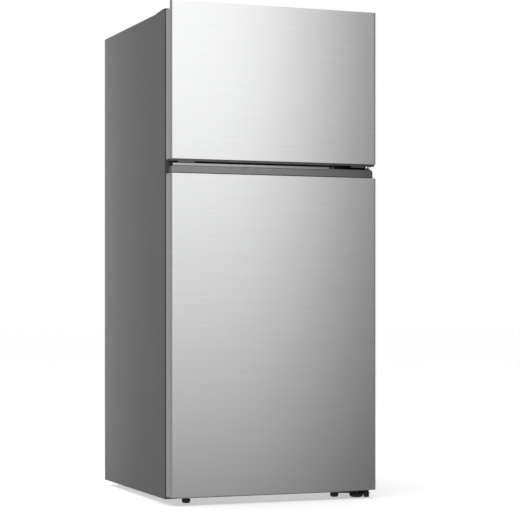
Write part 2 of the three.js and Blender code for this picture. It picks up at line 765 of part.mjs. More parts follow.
// Straight runs along X, joined at alternate ends by half-round bends.
function condenser() {
  const r = CONDENSER_RADIUS;
  const length = CONDENSER_LENGTH;
  const pitch = CONDENSER_PITCH;
  const overlap = 0.5;
  const ring = arc(0, 0, r, 0, 2 * Math.PI, 8).slice(1);
  const section = new THREE.Shape(ring.map(([u, v]) => new THREE.Vector2(u, v)));
  const runs = Array.from({ length: CONDENSER_PASSES }, (_, i) =>
    discX(r, both(length / 2 + overlap), 8).translate(0, i * pitch, 0),
  );
  const bends = Array.from({ length: CONDENSER_PASSES - 1 }, (_, i) => {
    const sign = i % 2 ? -1 : 1;
    const path = new THREE.CatmullRomCurve3(
      arc(0, 0, pitch / 2, -Math.PI / 2, Math.PI / 2, 8).map(([x, y]) => new THREE.Vector3(sign * x, y, 0)),
    );
    const bend = new THREE.ExtrudeGeometry(section, { steps: 8, extrudePath: path });
    return bend.translate((sign * length) / 2, (i + 0.5) * pitch, 0);
  });
  return join(...runs, ...bends);
}

function buildMachine(group) {
  add(group, "machine_cover", machineCover(), greyPaint);
  add(group, "compressor_plate", compressorPlate(), zincSteel);
  add(group, "compressor", compressor(), blackPaint, [COMPRESSOR_X, COMPRESSOR_Y, 0]);
  const x = [SEAM - INSIDE + TRAY_INSET, SEAM - INSIDE + TRAY_INSET + TRAY_WIDTH];
  const y = [MACHINE_FRONT + SEAM, MACHINE_FRONT + SEAM + TRAY_DEPTH];
  const tray = openBox(x, y, [TRAY_TOP - TRAY_HEIGHT, TRAY_TOP], TRAY_WALL, TRAY_CORNER);
  add(group, "drip_tray", tray, darkPlastic);
  const coilPlace = [(x[0] + x[1]) / 2, MACHINE_FRONT + PLATE_FLANGE, PLATE_TOP + CONDENSER_LIFT];
  add(group, "condenser_coil", condenser(), copper, coilPlace);
}

// ---- Cold air ----
function rearCover() {
  const y = [REAR_COVER_BACK - REAR_COVER, REAR_COVER_BACK];
  const through = [y[0] - REAR_COVER, y[1] + REAR_COVER];
  const first = (-LOUVRE_PITCH * (LOUVRES - 1)) / 2;
  const louvres = Array.from({ length: LOUVRES }, (_, i) => {
    const z = FAN_Z + first + i * LOUVRE_PITCH;
    const half = Math.sqrt(FAN_RADIUS ** 2 - (z - FAN_Z) ** 2);
    return block(both(half), through, [z - LOUVRE_PITCH / 4, z + LOUVRE_PITCH / 4]);
  });
  const returnZ = [FREEZER_FLOOR + RETURN_LIFT, FREEZER_FLOOR + RETURN_LIFT + OUTLET_HEIGHT];
  const returns = slots(RETURN_SLOTS, RETURN_PITCH, RETURN_WIDTH, returnZ, through);
  const dialHole = discY(PIN_RADIUS + PIN_PLAY, through, 16).translate(FREEZER_DIAL_X, 0, FAN_Z);
  return cut(
    block(both(FREEZER_HALF - SLIDE_PLAY), y, [FREEZER_FLOOR + SLIDE_PLAY, FREEZER_CEILING - SLIDE_PLAY]),
    ...louvres,
    ...returns,
    dialHole,
  );
}

// Upright fins on a rear plate, between two end plates.
function evaporator() {
  const half = FREEZER_HALF - EVAPORATOR_INSET;
  const y = [REAR_COVER_BACK + EVAPORATOR_GAP, SPACE_BACK - SEAM];
  const pitch = (2 * half - FIN) / (FIN_COUNT - 1);
  const outline = [[half, y[1]], [-half, y[1]]];
  for (let i = 0; i < FIN_COUNT; i++) {
    const x = -half + i * pitch;
    outline.push([x, y[0]], [x + FIN, y[0]]);
    if (i < FIN_COUNT - 1) outline.push([x + FIN, y[1] - 2 * FIN], [x + pitch, y[1] - 2 * FIN]);
  }
  const foot = FREEZER_FLOOR + EVAPORATOR_LIFT;
  return prismZ(outline, [foot, foot + EVAPORATOR_HEIGHT]);
}

// Both are modelled about the fan's axis, with y measured from the rear cover's back.
function fanMotor() {
  const back = EVAPORATOR_SPACE - SEAM;
  const shaftTip = FAN_GAP + FAN_WIDTH / 2;
  return join(
    discY(MOTOR_RADIUS, [back - MOTOR_LENGTH, back]),
    block(both(FAN_RADIUS), [back - MOTOR_ARM, back], both(MOTOR_ARM - 2)),
    discY(SHAFT_RADIUS, [shaftTip, back - MOTOR_LENGTH + 4], 16),
  );
}

function fanBlade() {
  const y = [FAN_GAP, FAN_GAP + FAN_WIDTH];
  const bore = discY(SHAFT_RADIUS + PIN_PLAY, [FAN_GAP + FAN_WIDTH / 2 - 2, y[1] + FAN_GAP], 16);
  const hub = cut(discY(FAN_HUB, y), bore);
  const blades = Array.from({ length: FAN_BLADES }, (_, i) =>
    block([FAN_HUB - 2, FAN_RADIUS - 4], both(1), both(FAN_CHORD / 2))
      .rotateX(FAN_PITCH)
      .translate(0, (y[0] + y[1]) / 2, 0)
      .rotateY((2 * Math.PI * i) / FAN_BLADES),
  );
  return join(hub, ...blades);
}

function ductCover() {
  const y = [SPACE_BACK - DUCT_DEPTH, SPACE_BACK - SEAM];
  const slope = DUCT_DEPTH / 2;
  const top = FRIDGE_CEILING - DUCT_DROP;
  const bottom = top - DUCT_HEIGHT;
  const outlets = Array.from({ length: OUTLETS }, (_, i) => {
    const z = bottom + OUTLET_FIRST + i * OUTLET_PITCH;
    return block(both(OUTLET_HALF), [y[0] - 2 * DUCT_WALL, y[0] + 2 * DUCT_WALL], [z, z + OUTLET_HEIGHT]);
  });
  return cut(
    prismX(
      [[y[1], bottom], [y[1], top], [y[0], top - slope], [y[0], bottom + slope]],
      both(DUCT_HALF),
    ),
    block(both(DUCT_HALF - DUCT_WALL), [y[0] + DUCT_WALL, BACK], [bottom + 2 * slope, top - 2 * slope]),
    ...outlets,
  );
}

// ---- Controls and light ----
function dial(radius, depth, shaft) {
  const grip = block(both(DIAL_GRIP / 2), [-depth, -depth / 2], both(radius - 1));
  return join(
    discY(radius, [-depth / 2, 0]),
    grip,
    discY(PIN_RADIUS, [-1, shaft], 16),
  );
}

function controlHousing(front, bottom) {
  const wall = CONTROL_WALL;
  const back = front + CONTROL_DEPTH;
  const shaftHole = discY(PIN_RADIUS + PIN_PLAY, [front - wall, front + 2 * wall], 16);
  const lensFront = (front + back - LENS_DEPTH) / 2;
  return cut(
    block(both(CONTROL_HALF), [front, back], [bottom, FRIDGE_CEILING - SEAM]),
    block(both(CONTROL_HALF - wall), [front + wall, back - wall], [bottom + wall, FRIDGE_CEILING]),
    block(both(LENS_HALF), [lensFront, lensFront + LENS_DEPTH], [bottom - wall, bottom + 2 * wall]),
    shaftHole.translate(DIAL_X, 0, bottom + CONTROL_HEIGHT / 2),
  );
}

function buildControls(group) {
  const front = SHELF_START + CONTROL_SETBACK;
  const bottom = FRIDGE_CEILING - SEAM - CONTROL_HEIGHT;
  const middle = front + CONTROL_DEPTH / 2;
  add(group, "control_housing", controlHousing(front, bottom), whitePlastic);
  add(
    group,
    "light_lens",
    block(both(LENS_HALF - SEAM), both(LENS_DEPTH / 2 - SEAM), [0, LENS]),
    clearPlastic,
    [0, middle, bottom - 1],
  );
  add(group, "fridge_temperature_dial", dial(DIAL_RADIUS, DIAL_DEPTH, DIAL_SHAFT), capPlastic, [
    DIAL_X,
    front - SEAM,
    bottom + CONTROL_HEIGHT / 2,
  ]);
  const freezerDial = dial(FREEZER_DIAL_RADIUS, FREEZER_DIAL_DEPTH, FREEZER_DIAL_SHAFT);
  add(group, "freezer_temperature_dial", freezerDial, capPlastic, [
    FREEZER_DIAL_X,
    REAR_COVER_BACK - REAR_COVER - SEAM,
    FAN_Z,
  ]);
  const tip = SEAM + LINER + SLIDE_PLAY - GASKET_GAP; // just clear of the closed door
  add(
    group,
    "light_switch_plunger",
    join(
      discY(SWITCH_RADIUS, [tip, 12], 16),
      discY(SWITCH_COLLAR, [LINER + SEAM, LINER + 3], 16),
    ),
    whitePlastic,
    [SWITCH_X, CABINET_FRONT, SWITCH_Z],
  );
}

function buildColdAir(group) {
  add(group, "rear_cover", rearCover(), whitePlastic);
  add(group, "evaporator", evaporator(), aluminium);
  add(group, "fan_motor", fanMotor(), darkPlastic, [0, REAR_COVER_BACK, FAN_Z]);
  add(group, "fan_blade", fanBlade(), whitePlastic, [0, REAR_COVER_BACK, FAN_Z]);
  add(group, "air_duct_cover", ductCover(), whitePlastic);
}

// ---- Shelves and crisper drawers ----
function shelf(half, back) {
  return prismX(
    [
      [SHELF_START, -SHELF_LIP],
      [SHELF_START + SHELF_LIP_THICK - 2, -SHELF_LIP],
      [SHELF_START + SHELF_LIP_THICK, 0],
      [back, 0],
      [back, SHELF],
      [SHELF_START, SHELF],
    ],
    both(half - LEDGE_DEPTH - SLIDE_PLAY),
  );
}

// A shelf's slab is wider than its turned-down front, so that it lies on the ledges.
function fullShelf(half, back) {
  return join(
    shelf(half, back),
    block(both(half - SLIDE_PLAY), [SHELF_START + SHELF_LIP_THICK, back], [0, SHELF]),
  );
}

function crisperDrawer(x, y, z) {
  const tub = openBox(x, y, z, CRISPER_WALL, CRISPER_CORNER);
  const front = block(x, [y[0] - CRISPER_FRONT, y[0] + CRISPER_WALL], z);
  const grip = block(
    [x[0] + GRIP_INSET, x[1] - GRIP_INSET],
    [y[0] - CRISPER_FRONT - CRISPER_GRIP, y[0]],
    [z[1] - GRIP_THICK, z[1]],
  );
  return join(tub, front, grip);
}

function buildShelves(group) {
  const freezerShelf = fullShelf(FREEZER_HALF, REAR_COVER_BACK - FREEZER_SHELF_CLEAR);
  add(group, "freezer_shelf", freezerShelf, clearGlass, [0, 0, FREEZER_SHELF_Z]);
  const fridgeShelves = { ...FRIDGE_SHELVES, crisper_cover: CRISPER_COVER_Z };
  for (const [name, z] of Object.entries(fridgeShelves))
    add(group, name, fullShelf(FRIDGE_HALF, SHELF_BACK), clearGlass, [0, 0, z]);
}

function buildCrispers(group) {
  const front = SHELF_START + CRISPER_FRONT;
  const y = [front, HUMP_FRONT - 2 * SLIDE_PLAY];
  const z = [FRIDGE_FLOOR + SEAM, FRIDGE_FLOOR + CRISPER_HEIGHT];
  const edge = FRIDGE_HALF - CRISPER_GUIDE - 3 * SLIDE_PLAY;
  const spans = { left: [-edge, -SLIDE_PLAY], right: [SLIDE_PLAY, edge] };
  for (const [side, x] of Object.entries(spans)) {
    add(group, "crisper_drawer_" + side, crisperDrawer(x, y, z), clearPlastic);
    const middle = (x[0] + x[1]) / 2;
    const start = middle - (SLIDER_TRAVEL + SLIDER_WIDTH) / 2;
    const face = front - CRISPER_FRONT - SEAM;
    const tab = (SLIDER_WIDTH - SLIDER_TAB) / 2;
    add(
      group,
      "humidity_slider_" + side,
      join(
        block([0, SLIDER_WIDTH], [-SLIDER_THICK, 0], [0, SLIDER_HEIGHT]),
        block([tab, tab + SLIDER_TAB], [-2 * SLIDER_THICK, 0], [0, SLIDER_HEIGHT]),
      ),
      capPlastic,
      [start, face, z[1] - SLIDER_DROP],
    );
  }
}

// ---- Hinges and what stands on the floor ----
// An arm in plan from the hinge line towards the back left, clear of the door's lip at every angle.
function armOutline(half, reach, grow) {
  const d = half * Math.SQRT1_2;
  const tip = arc(0, 0, half, -0.75 * Math.PI, 0.25 * Math.PI, 10);
  return [...tip, [d - reach, d + reach], [-d - reach - 2 * grow, d + reach]];
}

function topHinge() {
  const z = [CABINET_TOP + SEAM, CABINET_TOP + SEAM + HINGE_PLATE];
  const reach = CABINET_FRONT - AXIS_Y + 20;
  const right = TOP_ARM_HALF * Math.SQRT1_2 - (CABINET_FRONT + 2 - AXIS_Y) + TOP_ARM_HALF * Math.SQRT1_2;
  const bottom = CABINET_TOP - DOOR_TOP_DROP - PIN_GRIP;
  return join(
    prismZ(armOutline(TOP_ARM_HALF, reach, 0), z),
    block(
      [TOP_PAD_LEFT - AXIS_X, right],
      [CABINET_FRONT + 2 - AXIS_Y, CABINET_FRONT + TOP_PAD_DEPTH - AXIS_Y],
      z,
    ),
    disc(PIN_RADIUS, [bottom, z[1]], 20),
  );
}

function topHingeCover() {
  const z = [CABINET_TOP + SEAM, CABINET_TOP + COVER_HEIGHT];
  const padStart = CABINET_FRONT + 2 - AXIS_Y;
  const shellOutline = (half, margin) => {
    const right = 2 * half * Math.SQRT1_2 - padStart;
    return [
      ...arc(0, 0, half, -0.75 * Math.PI, 0.25 * Math.PI, 10),
      [right, padStart],
      [right, CABINET_FRONT + TOP_PAD_DEPTH - AXIS_Y + margin],
      [TOP_PAD_LEFT - AXIS_X - margin, CABINET_FRONT + TOP_PAD_DEPTH - AXIS_Y + margin],
      [TOP_PAD_LEFT - AXIS_X - margin, padStart - margin],
      [-2 * half * Math.SQRT1_2 - padStart + margin, padStart - margin],
    ];
  };
  return cut(
    prismZ(shellOutline(COVER_HALF, 6), z),
    prismZ(shellOutline(COVER_HALF - COVER_WALL, 6 - COVER_WALL), [z[0] - COVER_WALL, z[1] - COVER_WALL]),
  );
}

function cornerCap() {
  const z = CABINET_TOP + SEAM;
  return prismX(
    [
      [CABINET_FRONT, z],
      [CABINET_FRONT + CORNER_CAP_LENGTH, z],
      [CABINET_FRONT + CORNER_CAP_LENGTH, z + 1],
      [CABINET_FRONT + CORNER_CAP_LENGTH / 4, z + CORNER_CAP_HEIGHT],
      [CABINET_FRONT, z + CORNER_CAP_HEIGHT],
    ],
    [-CABINET_SIDE, -CABINET_SIDE + CORNER_CAP_WIDTH],
  );
}

function middleHinge() {
  const z = [PLATE_MIDDLE - HINGE_PLATE / 2, PLATE_MIDDLE + HINGE_PLATE / 2];
  const face = [CABINET_FRONT - SEAM - HINGE_PLATE, CABINET_FRONT - SEAM];
  const upper = FREEZER_STEEL_BOTTOM - FREEZER_CAP_DROP + PIN_GRIP;
  const lower = FRIDGE_STEEL_BOTTOM + HANDLE_TOP - PIN_GRIP;
  const nose = arc(AXIS_X, AXIS_Y, MIDDLE_NOSE, Math.PI, 2 * Math.PI, 8);
  const flangeRight = AXIS_X - 2;
  const flangeZ = [PLATE_MIDDLE - MIDDLE_FLANGE_HEIGHT / 2, PLATE_MIDDLE + MIDDLE_FLANGE_HEIGHT / 2];
  const shoulder = [AXIS_X + MIDDLE_NOSE, AXIS_Y + MIDDLE_SHOULDER];
  const plate = [[MIDDLE_PLATE_LEFT, face[1]], ...nose, shoulder, [flangeRight, face[1]]];
  return join(
    block([MIDDLE_FLANGE_LEFT, flangeRight], face, flangeZ),
    prismZ(plate, z),
    disc(PIN_RADIUS, [lower, upper], 20).translate(AXIS_X, AXIS_Y, 0),
  );
}

function hingeFootPlace() {
  return [CABINET_SIDE - HINGE_FOOT_INSET, FRONT + HINGE_FOOT_SETBACK];
}

function lowerHinge() {
  const z = [LOWER_PLATE_BOTTOM, LOWER_PLATE_BOTTOM + HINGE_PLATE];
  const doorFoot = FRIDGE_STEEL_BOTTOM - FRIDGE_CAP_DROP;
  const back = CABINET_FRONT + LOWER_PLATE_BACK;
  const [footX, footY] = hingeFootPlace();
  const nose = arc(AXIS_X, AXIS_Y, MIDDLE_NOSE, Math.PI, 2 * Math.PI, 8);
  const plate = prismZ(
    [
      [LOWER_PLATE_LEFT, back],
      [LOWER_PLATE_LEFT, CABINET_FRONT],
      [AXIS_X - 3 * MIDDLE_NOSE, footY - MIDDLE_NOSE],
      ...nose,
      [AXIS_X + MIDDLE_NOSE, back],
    ],
    z,
  );
  const stemHole = disc(FOOT_STEM_RADIUS + PIN_PLAY, [0, 2 * z[1]]).translate(footX, footY, 0);
  const [rightX, rightY] = footPlaces().right;
  const footHole = disc(FOOT_RADIUS + 2, [0, 2 * z[1]]).translate(rightX, rightY, 0);
  const pin = [
    disc(PIN_NUT_RADIUS, [PIN_NUT_LIFT, z[1]]),
    disc(PIN_NUT_RADIUS - 1, [z[0], doorFoot - SEAM]),
    disc(PIN_RADIUS, [z[0], doorFoot + PIN_GRIP], 20),
  ].map((piece) => piece.translate(AXIS_X, AXIS_Y, 0));
  return join(cut(plate, stemHole, footHole), ...pin);
}

// A dish-shaped foot on a threaded stem.
function foot(radius, top) {
  return turned([
    [0, 0],
    [radius * 0.72, 0],
    [radius * 0.9, FOOT_HEIGHT * 0.25],
    [radius, FOOT_HEIGHT * 0.55],
    [radius, FOOT_HEIGHT * 0.8],
    [radius * 0.8, Math.min(FOOT_HEIGHT, LOWER_PLATE_BOTTOM - SEAM)],
    [FOOT_STEM_RADIUS, Math.min(FOOT_HEIGHT, LOWER_PLATE_BOTTOM - SEAM)],
    [FOOT_STEM_RADIUS, top],
    [0, top],
  ]);
}

function roller() {
  const half = ROLLER_WIDTH / 2;
  const tyre = turned([
    [0, -half],
    [ROLLER_RADIUS - 2, -half],
    [ROLLER_RADIUS, -half + 2],
    [ROLLER_RADIUS, half - 2],
    [ROLLER_RADIUS - 2, half],
    [0, half],
  ]).rotateY(Math.PI / 2);
  return cut(tyre, discX(PIN_RADIUS + PIN_PLAY, both(ROLLER_WIDTH), 16));
}

function buildHinges(group) {
  add(group, "top_hinge", topHinge(), zincSteel, [AXIS_X, AXIS_Y, 0]);
  add(group, "top_hinge_cover", topHingeCover(), darkPlastic, [AXIS_X, AXIS_Y, 0]);
  add(group, "top_corner_cap", cornerCap(), darkPlastic);
  add(group, "middle_hinge", middleHinge(), blackPaint);
  add(group, "lower_hinge", lowerHinge(), blackPaint);
}

function buildFeet(group) {
  const stemTop = CABINET_BOTTOM + SHEET + FOOT_STEM_RISE;
  for (const [side, place] of Object.entries(footPlaces()))
    add(group, "front_foot_" + side, foot(FOOT_RADIUS, stemTop), darkPlastic, [...place, 0]);
  const underDoor = FRIDGE_STEEL_BOTTOM - FRIDGE_CAP_DROP - 3;
  add(group, "hinge_foot", foot(HINGE_FOOT_RADIUS, underDoor), darkPlastic, [...hingeFootPlace(), 0]);
  for (const [side, sign] of Object.entries({ left: -1, right: 1 }))
    add(group, "rear_roller_" + side, roller(), blackRubber, rollerPlace(sign));
}

// ---- Doors: x from the middle, y from the steel's front, z from the steel's lower edge ----
const WING = SIDE - DOOR_BODY_INSET; // outside of the steel's side wings, behind its rolled edges
const CORE_HALF = WING - SKIN - SEAM; // what fits between the wings
const TUCK = SKIN + SEAM; // from the steel's outside to what it wraps
const CORE_FRONT = SKIN_RETURN + SEAM; // behind the steel's lower return

// A door's outline in plan with rounded front corners: half its width, and its front and back.
function doorOutline(half, front, back) {
  const radius = SKIN_RADIUS - front;
  return [
    [-half, back],
    ...arc(-half + radius, SKIN_RADIUS, radius, Math.PI, 1.5 * Math.PI),
    ...arc(half - radius, SKIN_RADIUS, radius, 1.5 * Math.PI, 2 * Math.PI),
    [half, back],
  ];
}

// The same with a step in at each side, where the wings leave the rolled edges.
function wingedOutline(half, front, step, wing, back) {
  const [left, ...rest] = doorOutline(half, front, step);
  return [[-wing, back], [-wing, step], left, ...rest, [wing, step], [wing, back]];
}

// One sheet: the front with its rolled edges, returns above and below, and a wing down each side.
function doorSkin(height, closedTop, wingTop) {
  const beyond = 2 * DOOR_DEPTH;
  const top = closedTop ? height - SKIN : height + SKIN;
  const behind = [SKIN_RETURN, beyond];
  return cut(
    prismZ(wingedOutline(SIDE, 0, SKIN_RETURN, WING, DOOR_DEPTH), [0, height]),
    prismZ(wingedOutline(SIDE - SKIN, SKIN, SKIN_RETURN - SKIN, WING - SKIN, beyond), [SKIN, top]),
    block(both(WING - SKIN), behind, [-SKIN, height + SKIN]),
    block(both(WIDTH), behind, [wingTop, 2 * height]),
  );
}

// A slice of what fills the steel.
function doorSlab(z) {
  return prismZ(doorOutline(CORE_HALF, TUCK, DOOR_DEPTH), z);
}

function pinBore(z) {
  return disc(PIN_RADIUS + PIN_PLAY, z, 20).translate(AXIS_X, AXIS_SETBACK, 0);
}

function bottomCap(top, drop) {
  return join(doorSlab([TUCK, top]), block(both(CORE_HALF), [CORE_FRONT, DOOR_DEPTH], [-drop, top]));
}

function freezerTopCap() {
  const z = [FREEZER_BODY_TOP - TOP_CAP, FREEZER_BODY_TOP];
  const lip = prismZ(doorOutline(SIDE - TUCK, TUCK, SKIN_RETURN - TUCK), [z[1], FREEZER_STEEL - TUCK]);
  return cut(
    join(doorSlab(z), lip),
    pinBore([z[0] - SEAM, z[1] + SEAM]),
  );
}

function freezerBottomCap() {
  const tabY = [CORE_FRONT + 2, CORE_FRONT + 2 + TAB_DEPTH];
  const tabZ = [-FREEZER_CAP_DROP - TAB_DROP, 0];
  const tabs = [
    block([-TAB_OUTER, -TAB_INNER], tabY, tabZ),
    block([TAB_INNER, TAB_OUTER - PIN_NUT_RADIUS], tabY, tabZ),
  ];
  const grip = block(
    both(FREEZER_GRIP_HALF),
    [CORE_FRONT + GRIP_WALL, CORE_FRONT + GRIP_WALL + FREEZER_GRIP_DEPTH],
    [-2 * FREEZER_CAP_DROP, FREEZER_GRIP_RISE],
  );
  return cut(
    join(bottomCap(FREEZER_BOTTOM_CAP, FREEZER_CAP_DROP), ...tabs),
    grip,
    pinBore([-2 * FREEZER_CAP_DROP, FREEZER_BOTTOM_CAP - 2]),
  );
}

// The pocket handle: a block behind a finger groove, with its top corners cut off.
function handleCap() {
  const half = SIDE - HANDLE_SIDE_INSET;
  const shoulder = HANDLE_TOP - HANDLE_CORNER;
  const front = prismY(
    [
      [-half, HANDLE_FOOT],
      [half, HANDLE_FOOT],
      [half, shoulder],
      [half - HANDLE_CORNER, HANDLE_TOP],
      [-half + HANDLE_CORNER, HANDLE_TOP],
      [-half, shoulder],
    ],
    [HANDLE_SETBACK, DOOR_DEPTH],
  );
  const rolled = prismX(
    [
      [HANDLE_SETBACK, HANDLE_FOOT],
      [DOOR_DEPTH, HANDLE_FOOT],
      [DOOR_DEPTH, HANDLE_TOP],
      ...arc(HANDLE_SETBACK + 4, HANDLE_TOP - 4, 4, Math.PI / 2, Math.PI, 3),
    ],
    both(SIDE),
  );
  const groove = block(
    both(SIDE - HANDLE_SIDE_INSET),
    [TUCK + GRIP_WALL, HANDLE_SETBACK],
    [FRIDGE_STEEL - GRIP_DEPTH, HANDLE_TOP],
  );
  return cut(
    join(common(front, rolled), doorSlab([HANDLE_FOOT, FRIDGE_STEEL - SKIN])),
    groove,
    pinBore([HANDLE_TOP - PIN_GRIP - 4, HANDLE_TOP + SEAM]),
  );
}

// A magnet bulb against the cabinet, bellows, and a foot against the door.
function gasket(z) {
  const back = DOOR_DEPTH + SEAM;
  const face = DOOR_DEPTH + GASKET_GAP - SEAM;
  const w = GASKET_WIDTH;
  const section = [
    [w * 0.15, back],
    [w * 0.85, back],
    [w * 0.85, back + 3],
    [w * 0.65, back + 5],
    [w, face - 5],
    [w, face],
    [0, face],
    [0, face - 5],
    [w * 0.35, back + 5],
    [w * 0.15, back + 3],
  ];
  return framed(section, SIDE - GASKET_SIDE_INSET, z);
}

function doorLiner(cavityHalf, plateZ, dykeZ, bins) {
  const plateHalf = SIDE - GASKET_SIDE_INSET - GASKET_WIDTH - 2;
  const back = DOOR_DEPTH + SEAM;
  const outer = cavityHalf - DYKE_CLEAR;
  const inner = outer - DYKE_WIDTH;
  const tip = back + DYKE_REACH;
  const pieces = [block(both(plateHalf), [back, back + LINER], plateZ)];
  for (const sign of [-1, 1]) {
    const plan = [
      [sign * outer, back],
      [sign * (outer - CHAMFER / 3), tip - CHAMFER],
      [sign * (outer - CHAMFER), tip],
      [sign * (inner + CHAMFER), tip],
      [sign * inner, tip - CHAMFER],
      [sign * inner, back],
    ];
    pieces.push(prismZ(plan, dykeZ));
    const rest = [sign * (inner - BIN_LEDGE), sign * inner].sort((a, b) => a - b);
    for (const z of bins) pieces.push(block(rest, [back, tip - 2 * CHAMFER], [z - BIN_REST, z - SEAM]));
  }
  return join(...pieces);
}

function doorBin(cavityHalf) {
  const half = cavityHalf - DYKE_CLEAR - DYKE_WIDTH - SLIDE_PLAY;
  const y = [DOOR_DEPTH + SEAM + LINER + SLIDE_PLAY, DOOR_DEPTH + BIN_DEPTH];
  const tub = openBox(both(half), y, [0, BIN_HEIGHT], BIN_WALL, BIN_CORNER);
  const frontCut = block(
    both(half - BIN_FRONT_SIDE),
    [y[1] - 2 * BIN_WALL, y[1] + BIN_WALL],
    [BIN_HEIGHT - BIN_FRONT_DROP, 2 * BIN_HEIGHT],
  );
  return cut(tub, frontCut);
}

function buildFreezerDoor(group) {
  const top = FREEZER_BODY_TOP;
  const gasketZ = [GASKET_END_INSET - FREEZER_CAP_DROP, top - GASKET_END_INSET];
  const plateZ = [gasketZ[0] + GASKET_WIDTH + 2, gasketZ[1] - GASKET_WIDTH - 2];
  const dykeZ = [
    FREEZER_FLOOR + DYKE_END_CLEAR - FREEZER_STEEL_BOTTOM,
    FREEZER_CEILING - DYKE_END_CLEAR - FREEZER_STEEL_BOTTOM,
  ];
  add(group, "freezer_door_skin", doorSkin(FREEZER_STEEL, true, top - SEAM), brushedSteel);
  add(group, "freezer_door_body", doorSlab([FREEZER_BOTTOM_CAP + SEAM, top - TOP_CAP - SEAM]), foam);
  add(group, "freezer_door_top_cap", freezerTopCap(), capPlastic);
  add(group, "freezer_door_bottom_cap", freezerBottomCap(), capPlastic);
  const liner = doorLiner(FREEZER_HALF, plateZ, dykeZ, Object.values(FREEZER_BINS));
  add(group, "freezer_door_liner", liner, whitePlastic);
  add(group, "freezer_door_gasket", gasket(gasketZ), gasketRubber);
  for (const [name, z] of Object.entries(FREEZER_BINS))
    add(group, name, doorBin(FREEZER_HALF), clearPlastic, [0, 0, z]);
}

function buildFridgeDoor(group) {
  const gasketZ = [GASKET_END_INSET + FRIDGE_CAP_DROP, HANDLE_TOP - GASKET_END_INSET];
  const plateZ = [gasketZ[0] + GASKET_WIDTH + 2, gasketZ[1] - GASKET_WIDTH - 2];
  const dykeZ = [
    FRIDGE_FLOOR + DYKE_END_CLEAR - FRIDGE_STEEL_BOTTOM,
    FRIDGE_CEILING - DYKE_END_CLEAR - FRIDGE_STEEL_BOTTOM,
  ];
  const foot = cut(
    bottomCap(FRIDGE_BOTTOM_CAP, FRIDGE_CAP_DROP),
    pinBore([-2 * FRIDGE_CAP_DROP, FRIDGE_BOTTOM_CAP - 1]),
  );
  add(group, "fridge_door_skin", doorSkin(FRIDGE_STEEL, false, FRIDGE_STEEL), brushedSteel);
  add(group, "fridge_door_body", doorSlab([FRIDGE_BOTTOM_CAP + SEAM, HANDLE_FOOT - SEAM]), foam);
  add(group, "fridge_door_handle_cap", handleCap(), capPlastic);
  add(group, "fridge_door_bottom_cap", foot, capPlastic);
  const liner = doorLiner(FRIDGE_HALF, plateZ, dykeZ, Object.values(FRIDGE_BINS));
  add(group, "fridge_door_liner", liner, whitePlastic);
  add(group, "fridge_door_gasket", gasket(gasketZ), gasketRubber);
  for (const [name, z] of Object.entries(FRIDGE_BINS))
    add(group, name, doorBin(FRIDGE_HALF), clearPlastic, [0, 0, z]);
}

// ---- The whole refrigerator ----
const refrigerator = new THREE.Group();
const cabinet = new THREE.Group();
const freezerDoor = new THREE.Group();
const fridgeDoor = new THREE.Group();
freezerDoor.position.set(0, FRONT, FREEZER_STEEL_BOTTOM);
fridgeDoor.position.set(0, FRONT, FRIDGE_STEEL_BOTTOM);
refrigerator.add(cabinet, freezerDoor, fridgeDoor);

buildShell(cabinet);
buildMachine(cabinet);
buildColdAir(cabinet);
buildControls(cabinet);
buildShelves(cabinet);
buildCrispers(cabinet);
buildHinges(cabinet);
buildFeet(cabinet);
buildFreezerDoor(freezerDoor);
buildFridgeDoor(fridgeDoor);

export default refrigerator;
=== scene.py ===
"""The looks of a free-standing top-freezer refrigerator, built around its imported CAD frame.

Blender works in metres; the shape helpers below take millimetres in the same frame:
+Z up, the doors face -Y, and the origin is on the floor under the middle of the box.
"""

import json
import math

import bmesh
import bpy
from mathutils import Matrix, Vector


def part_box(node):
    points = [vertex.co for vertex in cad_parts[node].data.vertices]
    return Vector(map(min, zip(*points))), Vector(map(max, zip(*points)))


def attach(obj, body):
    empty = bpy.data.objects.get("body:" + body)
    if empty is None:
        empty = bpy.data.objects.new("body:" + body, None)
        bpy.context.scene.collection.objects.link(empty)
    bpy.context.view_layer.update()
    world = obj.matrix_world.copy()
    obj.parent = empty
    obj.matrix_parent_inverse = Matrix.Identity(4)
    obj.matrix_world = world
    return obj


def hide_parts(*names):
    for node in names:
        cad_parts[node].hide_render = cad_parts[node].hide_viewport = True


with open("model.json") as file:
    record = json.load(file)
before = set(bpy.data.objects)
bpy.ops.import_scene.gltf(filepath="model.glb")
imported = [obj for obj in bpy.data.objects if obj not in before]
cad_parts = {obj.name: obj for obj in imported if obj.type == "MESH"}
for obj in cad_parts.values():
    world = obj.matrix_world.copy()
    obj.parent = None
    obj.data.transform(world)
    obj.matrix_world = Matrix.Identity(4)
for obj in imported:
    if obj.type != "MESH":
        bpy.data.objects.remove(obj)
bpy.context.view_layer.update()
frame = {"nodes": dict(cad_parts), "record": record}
MM = 0.001


def span(node):
    """A CAD node's extent along x, y and z, in millimetres."""
    low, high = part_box(node)
    return [(a / MM, b / MM) for a, b in zip(low, high)]


# ---- Camera ----
def add_camera():
    data = bpy.data.cameras.new("camera")
    camera = bpy.data.objects.new("camera", data)
    bpy.context.scene.collection.objects.link(camera)
    data.sensor_width = 36
    data.lens = 122.97
    data.shift_y = 0.0863
    camera.location = (-2.238, -6.0189, 0.6727)
    camera.rotation_euler = (math.radians(90), 0, math.radians(-21.177))
    bpy.context.scene.camera = camera


